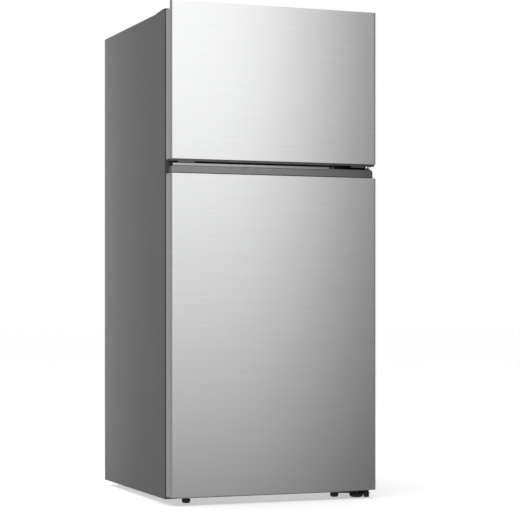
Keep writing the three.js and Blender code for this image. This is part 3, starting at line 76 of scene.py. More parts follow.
# ---- Node helpers ----
def new_material(name, color, roughness, metallic=0.0, **sockets):
    """A Principled material; the sockets that are the same all over are set on the shader itself."""
    mat = bpy.data.materials.new(name)
    mat.use_nodes = True
    shader = mat.node_tree.nodes["Principled BSDF"]
    shader.inputs["Base Color"].default_value = (*color, 1)
    shader.inputs["Roughness"].default_value = roughness
    shader.inputs["Metallic"].default_value = metallic
    for socket, value in sockets.items():
        shader.inputs[socket.replace("_", " ")].default_value = value
    return mat


def pattern(mat, scale, detail=2.0, kind="ShaderNodeTexNoise", output=0):
    """A texture in the object's own metres; scale is the number of features per metre along x, y and z."""
    nodes, links = mat.node_tree.nodes, mat.node_tree.links
    place = nodes.new("ShaderNodeTexCoord")
    mapping = nodes.new("ShaderNodeMapping")
    mapping.inputs["Scale"].default_value = scale
    texture = nodes.new(kind)
    texture.inputs["Scale"].default_value = 1.0
    if "Detail" in texture.inputs:
        texture.inputs["Detail"].default_value = detail
    links.new(place.outputs["Object"], mapping.inputs["Vector"])
    links.new(mapping.outputs["Vector"], texture.inputs["Vector"])
    return texture.outputs[output]


def spread(mat, value, low, high, start=0.3, stop=0.7, curve="LINEAR"):
    """value, moved from start..stop to low..high."""
    node = mat.node_tree.nodes.new("ShaderNodeMapRange")
    node.interpolation_type = curve
    for socket, number in zip(("From Min", "From Max", "To Min", "To Max"), (start, stop, low, high)):
        node.inputs[socket].default_value = number
    mat.node_tree.links.new(value, node.inputs["Value"])
    return node.outputs["Result"]


def vary_roughness(mat, value, low, high):
    shader = mat.node_tree.nodes["Principled BSDF"]
    mat.node_tree.links.new(spread(mat, value, low, high), shader.inputs["Roughness"])


def vary_color(mat, value, dark, light):
    nodes, links = mat.node_tree.nodes, mat.node_tree.links
    mix = nodes.new("ShaderNodeMix")
    mix.data_type = "RGBA"
    mix.inputs[6].default_value = (*dark, 1)
    mix.inputs[7].default_value = (*light, 1)
    links.new(spread(mat, value, 0, 1), mix.inputs[0])
    links.new(mix.outputs[2], nodes["Principled BSDF"].inputs["Base Color"])


def emboss(mat, value, depth, strength=0.5):
    """Bump of a depth in millimetres."""
    nodes, links = mat.node_tree.nodes, mat.node_tree.links
    bump = nodes.new("ShaderNodeBump")
    bump.inputs["Distance"].default_value = depth * MM
    bump.inputs["Strength"].default_value = strength
    links.new(value, bump.inputs["Height"])
    links.new(bump.outputs["Normal"], nodes["Principled BSDF"].inputs["Normal"])


def shade(color, factor):
    return tuple(min(1, c * factor) for c in color)


def even(size):
    """The same number of features per metre each way, from their size in millimetres."""
    return (1 / (size * MM),) * 3


# ---- Materials ----
def brushed_steel():
    """Stainless sheet brushed from side to side: long fine scratches, and faint wider bands."""
    mat = new_material("brushed_steel", (0.78, 0.785, 0.79), 0.3, 1.0, Anisotropic=0.55)
    shader = mat.node_tree.nodes["Principled BSDF"]
    tangent = mat.node_tree.nodes.new("ShaderNodeTangent")
    tangent.direction_type = "RADIAL"
    tangent.axis = "Z"
    shader.inputs["Anisotropic Rotation"].default_value = 0.25
    mat.node_tree.links.new(tangent.outputs["Tangent"], shader.inputs["Tangent"])
    scratches = pattern(mat, (7, 7, 1400), 3)
    bands = pattern(mat, (3, 3, 160), 3)
    vary_roughness(mat, scratches, 0.27, 0.33)
    vary_color(mat, bands, (0.77, 0.775, 0.78), (0.795, 0.8, 0.805))
    emboss(mat, scratches, 0.012, 0.12)
    return mat


def stuccoed_paint(name, color, roughness, grain=2.2, depth=0.05):
    """Coil-coated sheet with a fine pebbled texture rolled into it."""
    mat = new_material(name, color, roughness)
    pebbles = pattern(mat, even(grain), 1.5)
    vary_roughness(mat, pattern(mat, even(300), 1), roughness - 0.02, roughness + 0.03)
    vary_color(mat, pattern(mat, even(600), 1), shade(color, 0.985), shade(color, 1.015))
    emboss(mat, pebbles, depth, 0.3)
    return mat


def moulded(name, color, roughness, grain=0.6, depth=0.02, **sockets):
    """Moulded plastic with a fine spark-eroded grain."""
    mat = new_material(name, color, roughness, **sockets)
    grains = pattern(mat, even(grain), 2)
    vary_roughness(mat, pattern(mat, even(25), 2), roughness - 0.05, roughness + 0.06)
    vary_color(mat, pattern(mat, even(300), 1), shade(color, 0.985), shade(color, 1.01))
    emboss(mat, grains, depth, 0.25)
    return mat


def galvanised():
    """Zinc-coated steel with its spangle."""
    mat = new_material("galvanised_steel", (0.58, 0.59, 0.6), 0.42, 0.9)
    spangle = pattern(mat, even(9), kind="ShaderNodeTexVoronoi", output="Color")
    vary_color(mat, spangle, (0.5, 0.51, 0.52), (0.64, 0.65, 0.66))
    vary_roughness(mat, pattern(mat, even(14), 3), 0.34, 0.52)
    return mat


def metal(name, color, roughness, scale, depth=0.01):
    mat = new_material(name, color, roughness, 1.0)
    lines = pattern(mat, scale, 2)
    vary_roughness(mat, lines, roughness - 0.07, roughness + 0.1)
    vary_color(mat, pattern(mat, even(30), 2), shade(color, 0.9), shade(color, 1.06))
    emboss(mat, lines, depth, 0.3)
    return mat


def clear(name, color, roughness, ior, frost):
    """Clear plastic or glass; frost is the roughness of its lightly hazed patches."""
    mat = new_material(name, color, roughness, IOR=ior, Transmission_Weight=0.9)
    vary_roughness(mat, pattern(mat, even(60), 2), roughness, frost)
    vary_color(mat, pattern(mat, even(200), 1), shade(color, 0.98), color)
    return mat


def cellular_foam():
    mat = new_material("foam", (0.74, 0.64, 0.36), 0.9)
    cells = pattern(mat, even(1.2), kind="ShaderNodeTexVoronoi", output="Distance")
    vary_color(mat, pattern(mat, even(30), 3), (0.66, 0.56, 0.3), (0.8, 0.71, 0.44))
    emboss(mat, cells, 0.4, 0.8)
    return mat


STEEL = brushed_steel()
SIDE_PAINT = stuccoed_paint("side_paint", (0.09, 0.091, 0.092), 0.5)
TRIM_PAINT = stuccoed_paint("door_side_paint", (0.243, 0.244, 0.246), 0.5, 0.8, 0.015)
ZINC = galvanised()
BLACK_PAINT = moulded("black_paint", (0.012, 0.012, 0.013), 0.35, 1.5, 0.03)
CAP = moulded("cap_plastic", (0.225, 0.227, 0.23), 0.23, Metallic=1.0)
# a darker copy of the cap plastic for the freezer door's bottom cap: painted shade on an underside seen from
# below
CAP_PAINTED_SHADE = moulded("cap_painted_shade", (0.14, 0.141, 0.143), 0.35, Metallic=1.0)
# a lighter copy of the cap plastic: painted highlight along the handle cap's top edge
CAP_PAINTED_HIGHLIGHT = moulded("cap_painted_highlight", (0.4, 0.402, 0.405), 0.3, Metallic=1.0)
DARK = moulded("dark_plastic", (0.02, 0.02, 0.021), 0.42)
WHITE = moulded("white_plastic", (0.83, 0.84, 0.84), 0.28, 1.2, 0.015)
CLEAR = clear("clear_plastic", (0.93, 0.97, 0.98), 0.08, 1.49, 0.2)
FROSTED = clear("frosted_plastic", (0.9, 0.95, 0.97), 0.3, 1.49, 0.42)
GLASS = clear("clear_glass", (0.86, 0.95, 0.92), 0.01, 1.52, 0.04)
GASKET = moulded("gasket_rubber", (0.09, 0.09, 0.092), 0.62, 0.8, 0.02)
RUBBER = moulded("black_rubber", (0.012, 0.012, 0.012), 0.7, 1.0, 0.05)
FOAM = cellular_foam()
COPPER = metal("copper", (0.72, 0.34, 0.18), 0.3, (300, 300, 300))
ALUMINIUM = metal("aluminium", (0.72, 0.73, 0.74), 0.33, (60, 60, 900))
SCREW = metal("screw_steel", (0.74, 0.75, 0.76), 0.25, (500, 500, 500))
MARKING = moulded("marking_ink", (0.75, 0.76, 0.77), 0.5, 0.5, 0.005)

SLOT_LOOKS = {
    "brushed_steel": STEEL,
    "grey_paint": SIDE_PAINT,
    "zinc_steel": ZINC,
    "black_paint": BLACK_PAINT,
    "cap_plastic": CAP,
    "dark_plastic": DARK,
    "white_plastic": WHITE,
    "clear_plastic": CLEAR,
    "clear_glass": GLASS,
    "gasket_rubber": GASKET,
    "black_rubber": RUBBER,
    "foam": FOAM,
    "copper": COPPER,
    "aluminium": ALUMINIUM,
}


# ---- Outlines, in millimetres ----
def rectangle(u, v):
    return [(u[0], v[0]), (u[1], v[0]), (u[1], v[1]), (u[0], v[1])]


def rounded(points, radius, inset=0.0, steps=6):
    """An anticlockwise outline moved in by inset, its corners rounded by one radius, or by one each."""
    made = []
    for i, corner in enumerate(points):
        here = Vector(corner)
        into = (here - Vector(points[i - 1])).normalized()
        out = (Vector(points[(i + 1) % len(points)]) - here).normalized()
        turn = math.atan2(into.x * out.y - into.y * out.x, into.dot(out))
        sign = 1 if turn > 0 else -1
        first = Vector((-into.y, into.x))
        last = Vector((-out.y, out.x))
        base = radius[i] if hasattr(radius, "__len__") else radius
        r = max(base - sign * inset, 0.02)
        centre = here + (first + last) / (1 + first.dot(last)) * (inset + sign * r)
        start = math.atan2(first.y, first.x)
        for step in range(steps + 1):
            angle = start + turn * step / steps
            made.append(centre - sign * r * Vector((math.cos(angle), math.sin(angle))))
    return made


def circle(centre, radius, sides=48):
    turn = 2 * math.pi / sides
    return [
        Vector((centre[0] + radius * math.cos(i * turn), centre[1] + radius * math.sin(i * turn)))
        for i in range(sides)
    ]


def lift(outline, axis, at):
    """Puts a flat outline at a place along an axis."""
    places = {
        "X": lambda u, v: (at, u, v),
        "Y": lambda u, v: (u, at, v),
        "Z": lambda u, v: (u, v, at),
    }
    return [Vector(places[axis](u, v)) for u, v in outline]


def slab_levels(low, high, edge, steps=4):
    """(inset, place) pairs of a solid with rounded rims."""
    turns = [math.pi / 2 * i / steps for i in range(steps + 1)]
    rise = [(edge * (1 - math.sin(t)), low + edge * (1 - math.cos(t))) for t in turns]
    return rise + [(inset, low + high - at) for inset, at in reversed(rise)]


def tub_levels(low, high, wall, foot, taper=0.0, lip=0.0, steps=5):
    """The same for an open tub: up its outside, over the rim, and down its inside."""
    turns = [math.pi / 2 * i / steps for i in range(steps + 1)]
    outside = [(taper + foot * (1 - math.sin(t)), low + foot * (1 - math.cos(t))) for t in turns]
    inner = max(foot - wall, 0.5)
    inside = [
        (taper + wall + inner * (1 - math.sin(t)), low + wall + inner * (1 - math.cos(t)))
        for t in turns
    ]
    if lip:
        rim = [(lip, high - 3 * wall), (0, high - 3 * wall), (0, high), (lip + wall, high)]
    else:
        rim = [(0, high - wall / 3), (wall / 3, high), (wall * 2 / 3, high), (wall, high - wall / 3)]
    return outside + rim + inside[::-1]


# ---- Pieces ----
class Piece:
    """A mesh in the making, from closed parts that may have different materials."""

    def __init__(self):
        self.mesh = bmesh.new()
        self.materials = []

    def loft(self, rings, material, ring=False):
        """Skins equal outlines in 3-D; a ring joins its last to its first, else both ends are capped."""
        if material not in self.materials:
            self.materials.append(material)
        index = self.materials.index(material)
        rows = [[self.mesh.verts.new(point * MM) for point in outline] for outline in rings]
        pairs = list(zip(rows, rows[1:])) + ([(rows[-1], rows[0])] if ring else [])
        faces = []
        for lower, upper in pairs:
            for i in range(len(lower)):
                j = (i + 1) % len(lower)
                faces.append(self.mesh.faces.new((lower[i], lower[j], upper[j], upper[i])))
        if not ring:
            faces.append(self.mesh.faces.new(rows[0][::-1]))
            faces.append(self.mesh.faces.new(rows[-1]))
        for face in faces:
            face.material_index = index
        return self

    def stack(self, points, levels, material, axis="Z", radius=2.0, steps=6):
        """One outline at several places along an axis, each with its own inset."""
        return self.loft([lift(rounded(points, radius, i, steps), axis, at) for i, at in levels], material)

    def block(self, x, y, z, material, edge=0.6, corner=None, axis="Z"):
        """A block with rounded edges; corner is the radius of the four edges along axis."""
        sides = {"X": (y, z, x), "Y": (x, z, y), "Z": (x, y, z)}
        u, v, along = sides[axis]
        levels = slab_levels(along[0], along[1], edge, 3)
        return self.stack(rectangle(u, v), levels, material, axis, corner or edge, 4 if corner else 3)

    def lathe(self, centre, profile, material, axis="Z", sides=48):
        """Turns (radius, place) points about an axis through centre, given in the other two coordinates."""
        rings = [lift(circle(centre, max(r, 0.01), sides), axis, at) for r, at in profile]
        return self.loft(rings, material)

    def tube(self, path, radius, material, sides=14):
        """A round bar along points."""
        path = [Vector(p) for p in path]
        way = (path[1] - path[0]).normalized()
        side = way.orthogonal().normalized()
        rings = []
        for i, point in enumerate(path):
            ahead = path[min(i + 1, len(path) - 1)] - path[max(i - 1, 0)]
            new_way = ahead.normalized()
            side = way.rotation_difference(new_way) @ side
            side = (side - side.dot(new_way) * new_way).normalized()
            way = new_way
            up = way.cross(side)
            turns = [2 * math.pi / sides * k for k in range(sides)]
            rings.append([point + radius * (math.cos(t) * side + math.sin(t) * up) for t in turns])
        return self.loft(rings, material)

    def screw(self, place, axis, way, radius=4.0):
        """A hexagon-head screw with a washer; way is +1 or -1 along the axis."""
        index = "XYZ".index(axis)
        centre = [c for i, c in enumerate(place) if i != index]
        at = place[index]
        rim = radius * 1.5
        washer = [(rim, at), (rim, at + way * 0.8), (radius, at + way * 1.1)]
        head = [(radius, at + way), (radius, at + way * 3), (radius * 0.8, at + way * 3.6)]
        self.lathe(centre, washer, SCREW, axis, 32)
        self.lathe(centre, head, SCREW, axis, 6)
        return self

    def finish(self, name, body, slot=None, stands_for=(), smooth=32.0):
        """Makes the object, which rides on a body."""
        bmesh.ops.remove_doubles(self.mesh, verts=self.mesh.verts, dist=1e-7)
        bmesh.ops.dissolve_degenerate(self.mesh, edges=self.mesh.edges, dist=1e-7)
        bmesh.ops.recalc_face_normals(self.mesh, faces=self.mesh.faces)
        limit = math.radians(smooth)
        for face in self.mesh.faces:
            face.smooth = True
        for edge in self.mesh.edges:
            edge.smooth = len(edge.link_faces) == 2 and edge.calc_face_angle(0) < limit
        data = bpy.data.meshes.new(name)
        self.mesh.to_mesh(data)
        self.mesh.free()
        for material in self.materials:
            data.materials.append(material)
        made = bpy.data.objects.new(name, data)
        bpy.context.scene.collection.objects.link(made)
        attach(made, body)
        if stands_for:
            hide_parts(*stands_for)
        return made


def carve(target, *tools, operation="DIFFERENCE"):
    """Cuts tool objects out of a piece, and removes them."""
    for tool in tools:
        modifier = target.modifiers.new("cut", "BOOLEAN")
        modifier.operation = operation
        modifier.solver = "EXACT"
        modifier.object = tool
    graph = bpy.context.evaluated_depsgraph_get()
    data = bpy.data.meshes.new_from_object(target.evaluated_get(graph))
    target.modifiers.clear()
    target.data = data
    for tool in tools:
        bpy.data.objects.remove(tool)
    return target


def tool(piece, material):
    """A cutting tool, from a piece that isn't shown."""
    data = bpy.data.meshes.new("tool")
    bmesh.ops.recalc_face_normals(piece.mesh, faces=piece.mesh.faces)
    piece.mesh.to_mesh(data)
    piece.mesh.free()
    data.materials.append(material)
    made = bpy.data.objects.new("tool", data)
    bpy.context.scene.collection.objects.link(made)
    return made


# ---- CAD nodes that are shown as they are: rounded edges and their own finish ----
EDGE_ROUNDING = {
    "side_panel_left": 0.45,
    "side_panel_right": 0.45,
    "top_panel": 0.45,
    "back_panel": 0.4,
    "base_pan": 0.4,
    "rear_cover": 0.8,
    "freezer_door_top_cap": 1.0,
    "freezer_door_bottom_cap": 1.0,
    "fridge_door_bottom_cap": 0.8,
    "fridge_door_handle_cap": 1.6,
    "top_hinge_cover": 1.8,
    "top_corner_cap": 1.2,
    "control_housing": 1.8,
}


# the freezer door's bottom cap wears the darker copy of the cap plastic: painted shade
NODE_LOOKS = {"freezer_door_bottom_cap": CAP_PAINTED_SHADE}


def finish_nodes():
    slots = {
        node: entry["slot"]
        for entry in frame["record"]["materials"]
        for node in entry.get("nodes", [])
    }
    for name, node in frame["nodes"].items():
        look = NODE_LOOKS.get(name) or SLOT_LOOKS[slots.get(name) or node.data.materials[0].name]
        for material_slot in node.material_slots:
            material_slot.link = "OBJECT"
            material_slot.material = look
        weld = node.modifiers.new("weld", "WELD")
        weld.merge_threshold = 1e-6
        bevel = node.modifiers.new("edges", "BEVEL")
        bevel.width = EDGE_ROUNDING.get(name, 0.5) * MM
        bevel.segments = 3
        bevel.limit_method = "ANGLE"
        bevel.angle_limit = math.radians(32)
        bevel.use_clamp_overlap = True
        bevel.harden_normals = False
        for polygon in node.data.polygons:
            polygon.use_smooth = True
        normals = node.modifiers.new("normals", "WEIGHTED_NORMAL")
        normals.keep_sharp = False
        normals.weight = 90


# ---- Doors' steel fronts ----
SIDE = 377.0
FRONT = -397.0
ROLL = 12.0
RETURN = 16.0
SHEET = 1.0
HANDLE_SETBACK = 18.5
TRIM_TOPS = {"freezer_door": 1663.7, "fridge_door": 1112.7}
FRIDGE_STEEL_TOP = 1113.0


def steel_front(node, name, body, closed_top):
    """A pressed sheet: its side edges are rolled, and its top and bottom are folded back."""
    z = span(node)[2]
    plan = rectangle((-SIDE, SIDE), (FRONT, FRONT + RETURN))
    corners = [ROLL, ROLL, 0.6, 0.6]
    inner = rectangle((-SIDE + SHEET, SIDE - SHEET), (FRONT + SHEET, FRONT + 2 * RETURN))
    inside = [ROLL - SHEET, ROLL - SHEET, 0.3, 0.3]
    top = z[1] - SHEET if closed_top else z[1] + SHEET
    levels = slab_levels(z[0], z[1], 0.9, 3)
    shell = Piece()
    shell.loft([lift(rounded(plan, corners, i, 10), "Z", at) for i, at in levels], STEEL)
    hollow = Piece()
    hollow.loft([lift(rounded(inner, inside, 0, 10), "Z", at) for at in (z[0] + SHEET, top)], STEEL)
    made = carve(shell.finish(name, body, "brushed_steel", [node]), tool(hollow, STEEL))
    flat = made.modifiers.new("normals", "WEIGHTED_NORMAL")
    flat.keep_sharp = True
    flat.weight = 90


def side_trims(node, name, body):
    """The painted side walls of a door: tucked under the rolled edges, and folded in across the back."""
    z = (span(node)[2][0] + 0.5, TRIM_TOPS[body])
    piece = Piece()
    start, back, wall = FRONT + RETURN - SHEET, FRONT + 58, SIDE - 1
    plan = [(wall, start), (wall, back), (wall - 24, back), (wall - 24, back - 0.9), (wall - 1, back - 0.9)]
    plan.append((wall - 1, start))
    shape = rounded(plan, [0.2, 1.6, 0.2, 0.2, 0.7, 0.2], 0, 4)
    for sign in (-1, 1):
        piece.loft([lift([(sign * u, v) for u, v in shape], "Z", at) for at in z], TRIM_PAINT)
    return piece.finish(name, body, "brushed_steel", [node])


def door_core(node, name, body):
    """The foam inside a door, and the liner's flange over its back."""
    x, y, z = span(node)
    core = Piece()
    core.block((x[0] + 1.4, x[1] - 1.4), (y[0] + 8, y[1] - 1.2), z, FOAM, 0.6)
    core.finish(name + "_foam", body, "foam", [node])
    flange = Piece()
    flange.block((-352.5, 352.5), (y[1] - 1, y[1]), z, WHITE, 0.3)
    flange.finish(name + "_flange", body, "white_plastic", [node])


def add_handle_painted_highlight_and_shadow():
    """The bead along the handle cap's rounded top edge, lighter than the cap: a painted highlight; and a dark
    strip at the cap's foot: painted shadow in the groove.
    """
    face = FRONT + HANDLE_SETBACK
    low, high = FRIDGE_STEEL_TOP, span("fridge_door_handle_cap")[2][1]
    bead = Piece()
    section = rectangle((face - 2.2, face - 0.1), (high - 5.5, high + 3.6))
    ends = slab_levels(-366, 204, 2.0, 3)
    # the bead's lighter colour is a painted highlight on the cap's rounded top edge
    bead.loft([lift(rounded(section, [1.0] * 4, i * 0.4, 4), "X", at) for i, at in ends], CAP_PAINTED_HIGHLIGHT)
    bead.finish("fridge_door_handle_bead_painted_highlight", "fridge_door", "cap_plastic")
    groove = Piece()
    # a dark strip at the cap's foot, where the groove above the steel's top edge is only in shade: painted
    # shadow
    groove.block((-369, 369), (face - 0.9, face - 0.1), (low - 3, low + 4), DARK, 0.2)
    groove.finish("fridge_door_handle_groove_painted_shadow", "fridge_door", "dark_plastic")


def add_door_fronts():
    add_handle_painted_highlight_and_shadow()
    for body in ("freezer_door", "fridge_door"):
        steel_front(body + "_skin", body + "_steel", body, body == "freezer_door")
    for body in ("freezer_door", "fridge_door"):
        side_trims(body + "_skin", body + "_side_trims", body)
    for body in ("freezer_door", "fridge_door"):
        door_core(body + "_body", body + "_body", body)


# ---- Doors' inner parts ----
def add_gasket(node, body):
    """A magnet bulb against the cabinet, bellows, and a foot pressed into the door."""
    x, y, z = span(node)
    back, face = y
    width = 18
    half = [(2.7, back), (2.7, back + 2.4), (3.8, back + 3.1), (6.2, back + 4.2), (6.2, back + 5.2)]
    half += [(3.4, back + 6.2), (3.0, back + 7.0), (0.6, back + 7.8), (0, back + 8.6), (0, face - 1)]
    half += [(0.9, face), (8.2, face)]
    section = half + [(width / 2, face - 0.5)] + [(width - inset, at) for inset, at in reversed(half)]
    rings = [lift(rounded(rectangle(x, z), 9, inset, 5), "Y", at) for inset, at in section]
    Piece().loft(rings, GASKET, ring=True).finish(node + "_bellows", body, "gasket_rubber", [node], 25)


def add_bin(node, body):
    """A clear moulded bin with rounded corners, a low front, a rim bead and ribs under its floor."""
    x, y, z = span(node)
    rim = z[1] - 15
    low = (x[0] + 40, x[1] - 40)
    tub = Piece()
    tub.stack(rectangle(x, y), tub_levels(z[0] + 1.5, z[1], 2.4, 10, 0.6), CLEAR, "Z", 15, 6)
    made = tub.finish(node + "_tub", body, "clear_plastic", [node])
    notch = Piece()
    outline = rounded(rectangle((low[0] - 6, low[1] + 6), (rim, z[1] + 20)), [12, 12, 1, 1], 0, 6)
    notch.loft([lift(outline, "Y", at) for at in (y[1] - 6, y[1] + 3)], CLEAR)
    carve(made, tool(notch, CLEAR))
    trim = Piece()
    strip = (y[1] - 6.4, y[1] - 2.6)
    trim.block((low[0] + 12, low[1] - 12), strip, (rim - 8, rim - 0.6), WHITE, 1.4, 1.8, "X")
    for i in range(9):
        at = x[0] + 40 + (x[1] - x[0] - 80) * i / 8
        trim.block((at - 1, at + 1), (y[0] + 8, y[1] - 8), (z[0], z[0] + 2), WHITE, 0.4)
    trim.finish(node + "_trim", body, "white_plastic", [node])


def add_door_liner(node, body, bins):
    """A vacuum-formed panel: a rounded field, a rib round it, and two dykes that hold the bins."""
    x, y, z = span(node)
    back, tip = y
    piece = Piece()
    field = [(0, back), (0, back + 1.2), (0.8, back + 2)]
    piece.stack(rectangle(x, z), field, WHITE, "Y", 10, 6)
    outer, inner = (299, 275) if "freezer" in node else (312, 288)
    dykes = (1211, 1592) if "freezer" in node else (92, 1082)
    for sign in (-1, 1):
        sides = sorted((sign * inner, sign * outer))
        levels = [(0, back + 1), (0, back + 4), (1.4, tip - 12), (2.4, tip - 5), (4.2, tip - 1.6), (7, tip)]
        piece.stack(rectangle(sides, dykes), levels, WHITE, "Y", 9, 6)
        rest = sorted((sign * (inner - 5.6), sign * (inner + 2)))
        for name in bins:
            under = span(name)[2][0]
            piece.block(rest, (back + 1, tip - 14), (under - 9.6, under - 0.6), WHITE, 1.6)
    half = inner - 40
    field = rectangle((-half, half), (dykes[0] + 30, dykes[1] - 30))
    ring = [(0, back + 1.2), (1.4, back + 3.4), (4.6, back + 3.4), (6, back + 1.2)]
    piece.loft([lift(rounded(field, 26, i, 8), "Y", at) for i, at in ring], WHITE, ring=True)
    piece.finish(node + "_panel", body, "white_plastic", [node])


def add_door_insides():
    for body in ("freezer_door", "fridge_door"):
        add_gasket(body + "_gasket", body)
    bins = {
        "freezer_door": ("freezer_bin_lower", "freezer_bin_upper"),
        "fridge_door": ("fridge_bin_lower", "fridge_bin_middle", "fridge_bin_upper"),
    }
    for body, names in bins.items():
        add_door_liner(body + "_liner", body, names)
        for name in names:
            add_bin(name, body)


# ---- Cabinet's liners ----
LINER = 2.0
LINER_FRONT = -325.0
FREEZER_HALF = 312
FRIDGE_HALF = 325
GUIDE_Z = (79, 344)


def add_ledges(piece, half, y, top):
    """The moulded rails that a shelf lies on."""
    for sign in (-1, 1):
        outline = [(half + 1, top - 10), (half - 7, top - 6), (half - 8, top - 4.6), (half - 8, top - 0.6)]
        outline += [(half - 7.4, top), (half + 1, top)]
        rings = [lift([(sign * u, v) for u, v in outline], "Y", at) for at in y]
        piece.loft(rings, WHITE)


def liner_piece(node, profile, half, corner):
    """A formed liner; profile is its inside seen from the side."""
    x, y, z = span(node)
    front = y[0]
    outer = Piece()
    radii = [corner + LINER] * len(profile)
    levels = slab_levels(-half - LINER, half + LINER, corner + LINER, 5)
    outer.loft([lift(rounded(profile, radii, i - LINER, 5), "X", at) for i, at in levels], WHITE)
    made = outer.finish(node + "_tub", "cabinet", "white_plastic", [node])
    flange = Piece()
    flange.block(x, (front, front + LINER), z, WHITE, 0.5, 6, "Y")
    carve(made, tool(flange, WHITE), operation="UNION")
    hollow = Piece()
    long = [(u - 60 if u < front + 40 else u, v) for u, v in profile]
    levels = slab_levels(-half, half, corner, 5)
    hollow.loft([lift(rounded(long, corner, i, 5), "X", at) for i, at in levels], WHITE)
    return carve(made, tool(hollow, WHITE))


def add_liners():
    mouth, back, corner, frame_depth = LINER_FRONT + 1, 328, 12, 5.3
    freezer = [(mouth, 1199), (back, 1199), (back, 1604), (mouth, 1604)]
    liner_piece("freezer_liner", freezer, FREEZER_HALF, corner)
    fridge = [(mouth, 80), (135, 80), (135, 290), (back, 290), (back, 1094), (mouth, 1094)]
    liner_piece("fridge_liner", fridge, FRIDGE_HALF, corner)
    rails = Piece()
    add_ledges(rails, FREEZER_HALF, (-205, 233), span("freezer_shelf")[2][1] - frame_depth)
    rails.finish("freezer_shelf_rails", "cabinet", "white_plastic", ["freezer_liner"])
    rails = Piece()
    for name in ("fridge_shelf_upper", "fridge_shelf_lower", "crisper_cover"):
        add_ledges(rails, FRIDGE_HALF, (-205, 268), span(name)[2][1] - frame_depth)
    for sign in (-1, 1):
        side = sorted((sign * 301, sign * 303))
        rails.block(side, (-191, 135), GUIDE_Z, WHITE, 0.6)
        end = sorted((sign * 301, sign * 326))
        rails.block(end, (-192, -190), GUIDE_Z, WHITE, 0.6)
        for i in range(3):
            at = 130 + 70 * i
            rib = sorted((sign * 300.4, sign * 302))
            rails.block(rib, (-186, 130), (at, at + 4), WHITE, 0.5)
    rails.finish("fridge_shelf_rails", "cabinet", "white_plastic", ["fridge_liner"])


# ---- Shelves and drawers ----
def add_shelf(node):
    """A glass pane in a moulded frame with a rounded front rail."""
    x, y, z = span(node)
    top, under = z[1], z[1] - 5
    lip = (x[0] + 8, x[1] - 8)
    pane = Piece()
    pane.block((x[0] + 9, x[1] - 9), (y[0] + 13, y[1] - 9), (under + 0.6, top - 0.7), GLASS, 0.3, 4)
    pane.finish(node + "_pane", "cabinet", "clear_glass", [node])
    rail = Piece()
    foot = under + 0.4
    nose = [(0, z[0]), (10, z[0]), (12.4, foot), (17, foot), (17, top), (0, top)]
    nose = [(y[0] + u, v) for u, v in nose]
    rise = [(0.8, lip[0]), (0.2, lip[0] + 0.3), (0, lip[0] + 1)]
    levels = rise + [(inset, sum(lip) - at) for inset, at in reversed(rise)]
    radii = [2.4, 1.6, 1.5, 0.4, 0.6, 3.4]
    rail.loft([lift(rounded(nose, radii, i, 5), "X", at) for i, at in levels], WHITE)
    for sign in (-1, 1):
        side = sorted((sign * x[1], sign * (x[1] - 13)))
        rail.block(side, (y[0] + 12, y[1]), (under, top), WHITE, 1.2)
    rail.block((x[0] + 10, x[1] - 10), (y[1] - 12, y[1]), (under, top), WHITE, 1.2)
    rail.finish(node + "_frame", "cabinet", "white_plastic", [node])


def add_drawer(node, body):
    """A clear tub behind a frosted front with a curled grip."""
    x, y, z = span(node)
    face = y[0] + 14
    tub = Piece()
    tub.stack(rectangle(x, (face + 3, y[1])), tub_levels(z[0] + 2, z[1], 2.6, 12, 1.2), CLEAR, "Z", 14, 6)
    for i in range(4):
        across = x[0] + 50 + (x[1] - x[0] - 100) * i / 3
        tub.block((across - 2, across + 2), (face + 30, y[1] - 30), (z[0], z[0] + 2.6), CLEAR, 0.5)
    tub.finish(node + "_tub", body, "clear_plastic", [node])
    front = Piece()
    front.block(x, (face, face + 7.6), z, FROSTED, 2.4, 9, "Y")
    front.finish(node + "_front", body, "clear_plastic", [node])
    grip = Piece()
    lip = [(face + 3, z[1] - 5), (y[0] + 3, z[1] - 5.2), (y[0], z[1] - 3.4), (y[0], z[1] - 0.6)]
    lip.append((face + 3, z[1]))
    inner = (x[0] + 60, x[1] - 60)
    rise = [(1.2, inner[0]), (0.3, inner[0] + 0.6), (0, inner[0] + 2)]
    levels = rise + [(inset, sum(inner) - at) for inset, at in reversed(rise)]
    radii = [0.6, 2, 1.4, 1.2, 0.6]
    grip.loft([lift(rounded(lip[::-1], radii[::-1], i, 4), "X", at) for i, at in levels], CAP)
    middle = sum(x) / 2
    for i in range(7):
        mark = middle - 39 + 13 * i
        tall = (z[1] - 25, z[1] - 23.4 + 0.5 * i)
        grip.block((mark - 0.7, mark + 0.7), (face - 0.15, face + 0.6), tall, MARKING, 0.1)
    grip.finish(node + "_grip", body, "cap_plastic", [node])


def add_slider(node, body):
    x, y, z = span(node)
    middle = sum(x) / 2
    piece = Piece()
    piece.block(x, (y[1] - 5, y[1]), z, CAP, 1.2, 3, "Y")
    piece.block((middle - 3, middle + 3), (y[0], y[1] - 4), (z[0] + 0.6, z[1] - 0.6), CAP, 1.3)
    for i in range(5):
        for sign in (-1, 1):
            at = middle + sign * (7 + 3 * i)
            ridge = (y[1] - 5.7, y[1] - 4)
            piece.block((at - 0.6, at + 0.6), ridge, (z[0] + 2.4, z[1] - 2.4), CAP, 0.3)
    piece.finish(node + "_knob", body, "cap_plastic", [node])


def add_shelves_and_drawers():
    for node in ("freezer_shelf", "fridge_shelf_upper", "fridge_shelf_lower", "crisper_cover"):
        add_shelf(node)
    for side in ("left", "right"):
        add_drawer("crisper_drawer_" + side, "drawer_" + side)
        add_slider("humidity_slider_" + side, "slider_" + side)


# ---- Cold air: rear cover, evaporator, fan, duct ----
FAN_AXIS = (0.0, 1519.0)


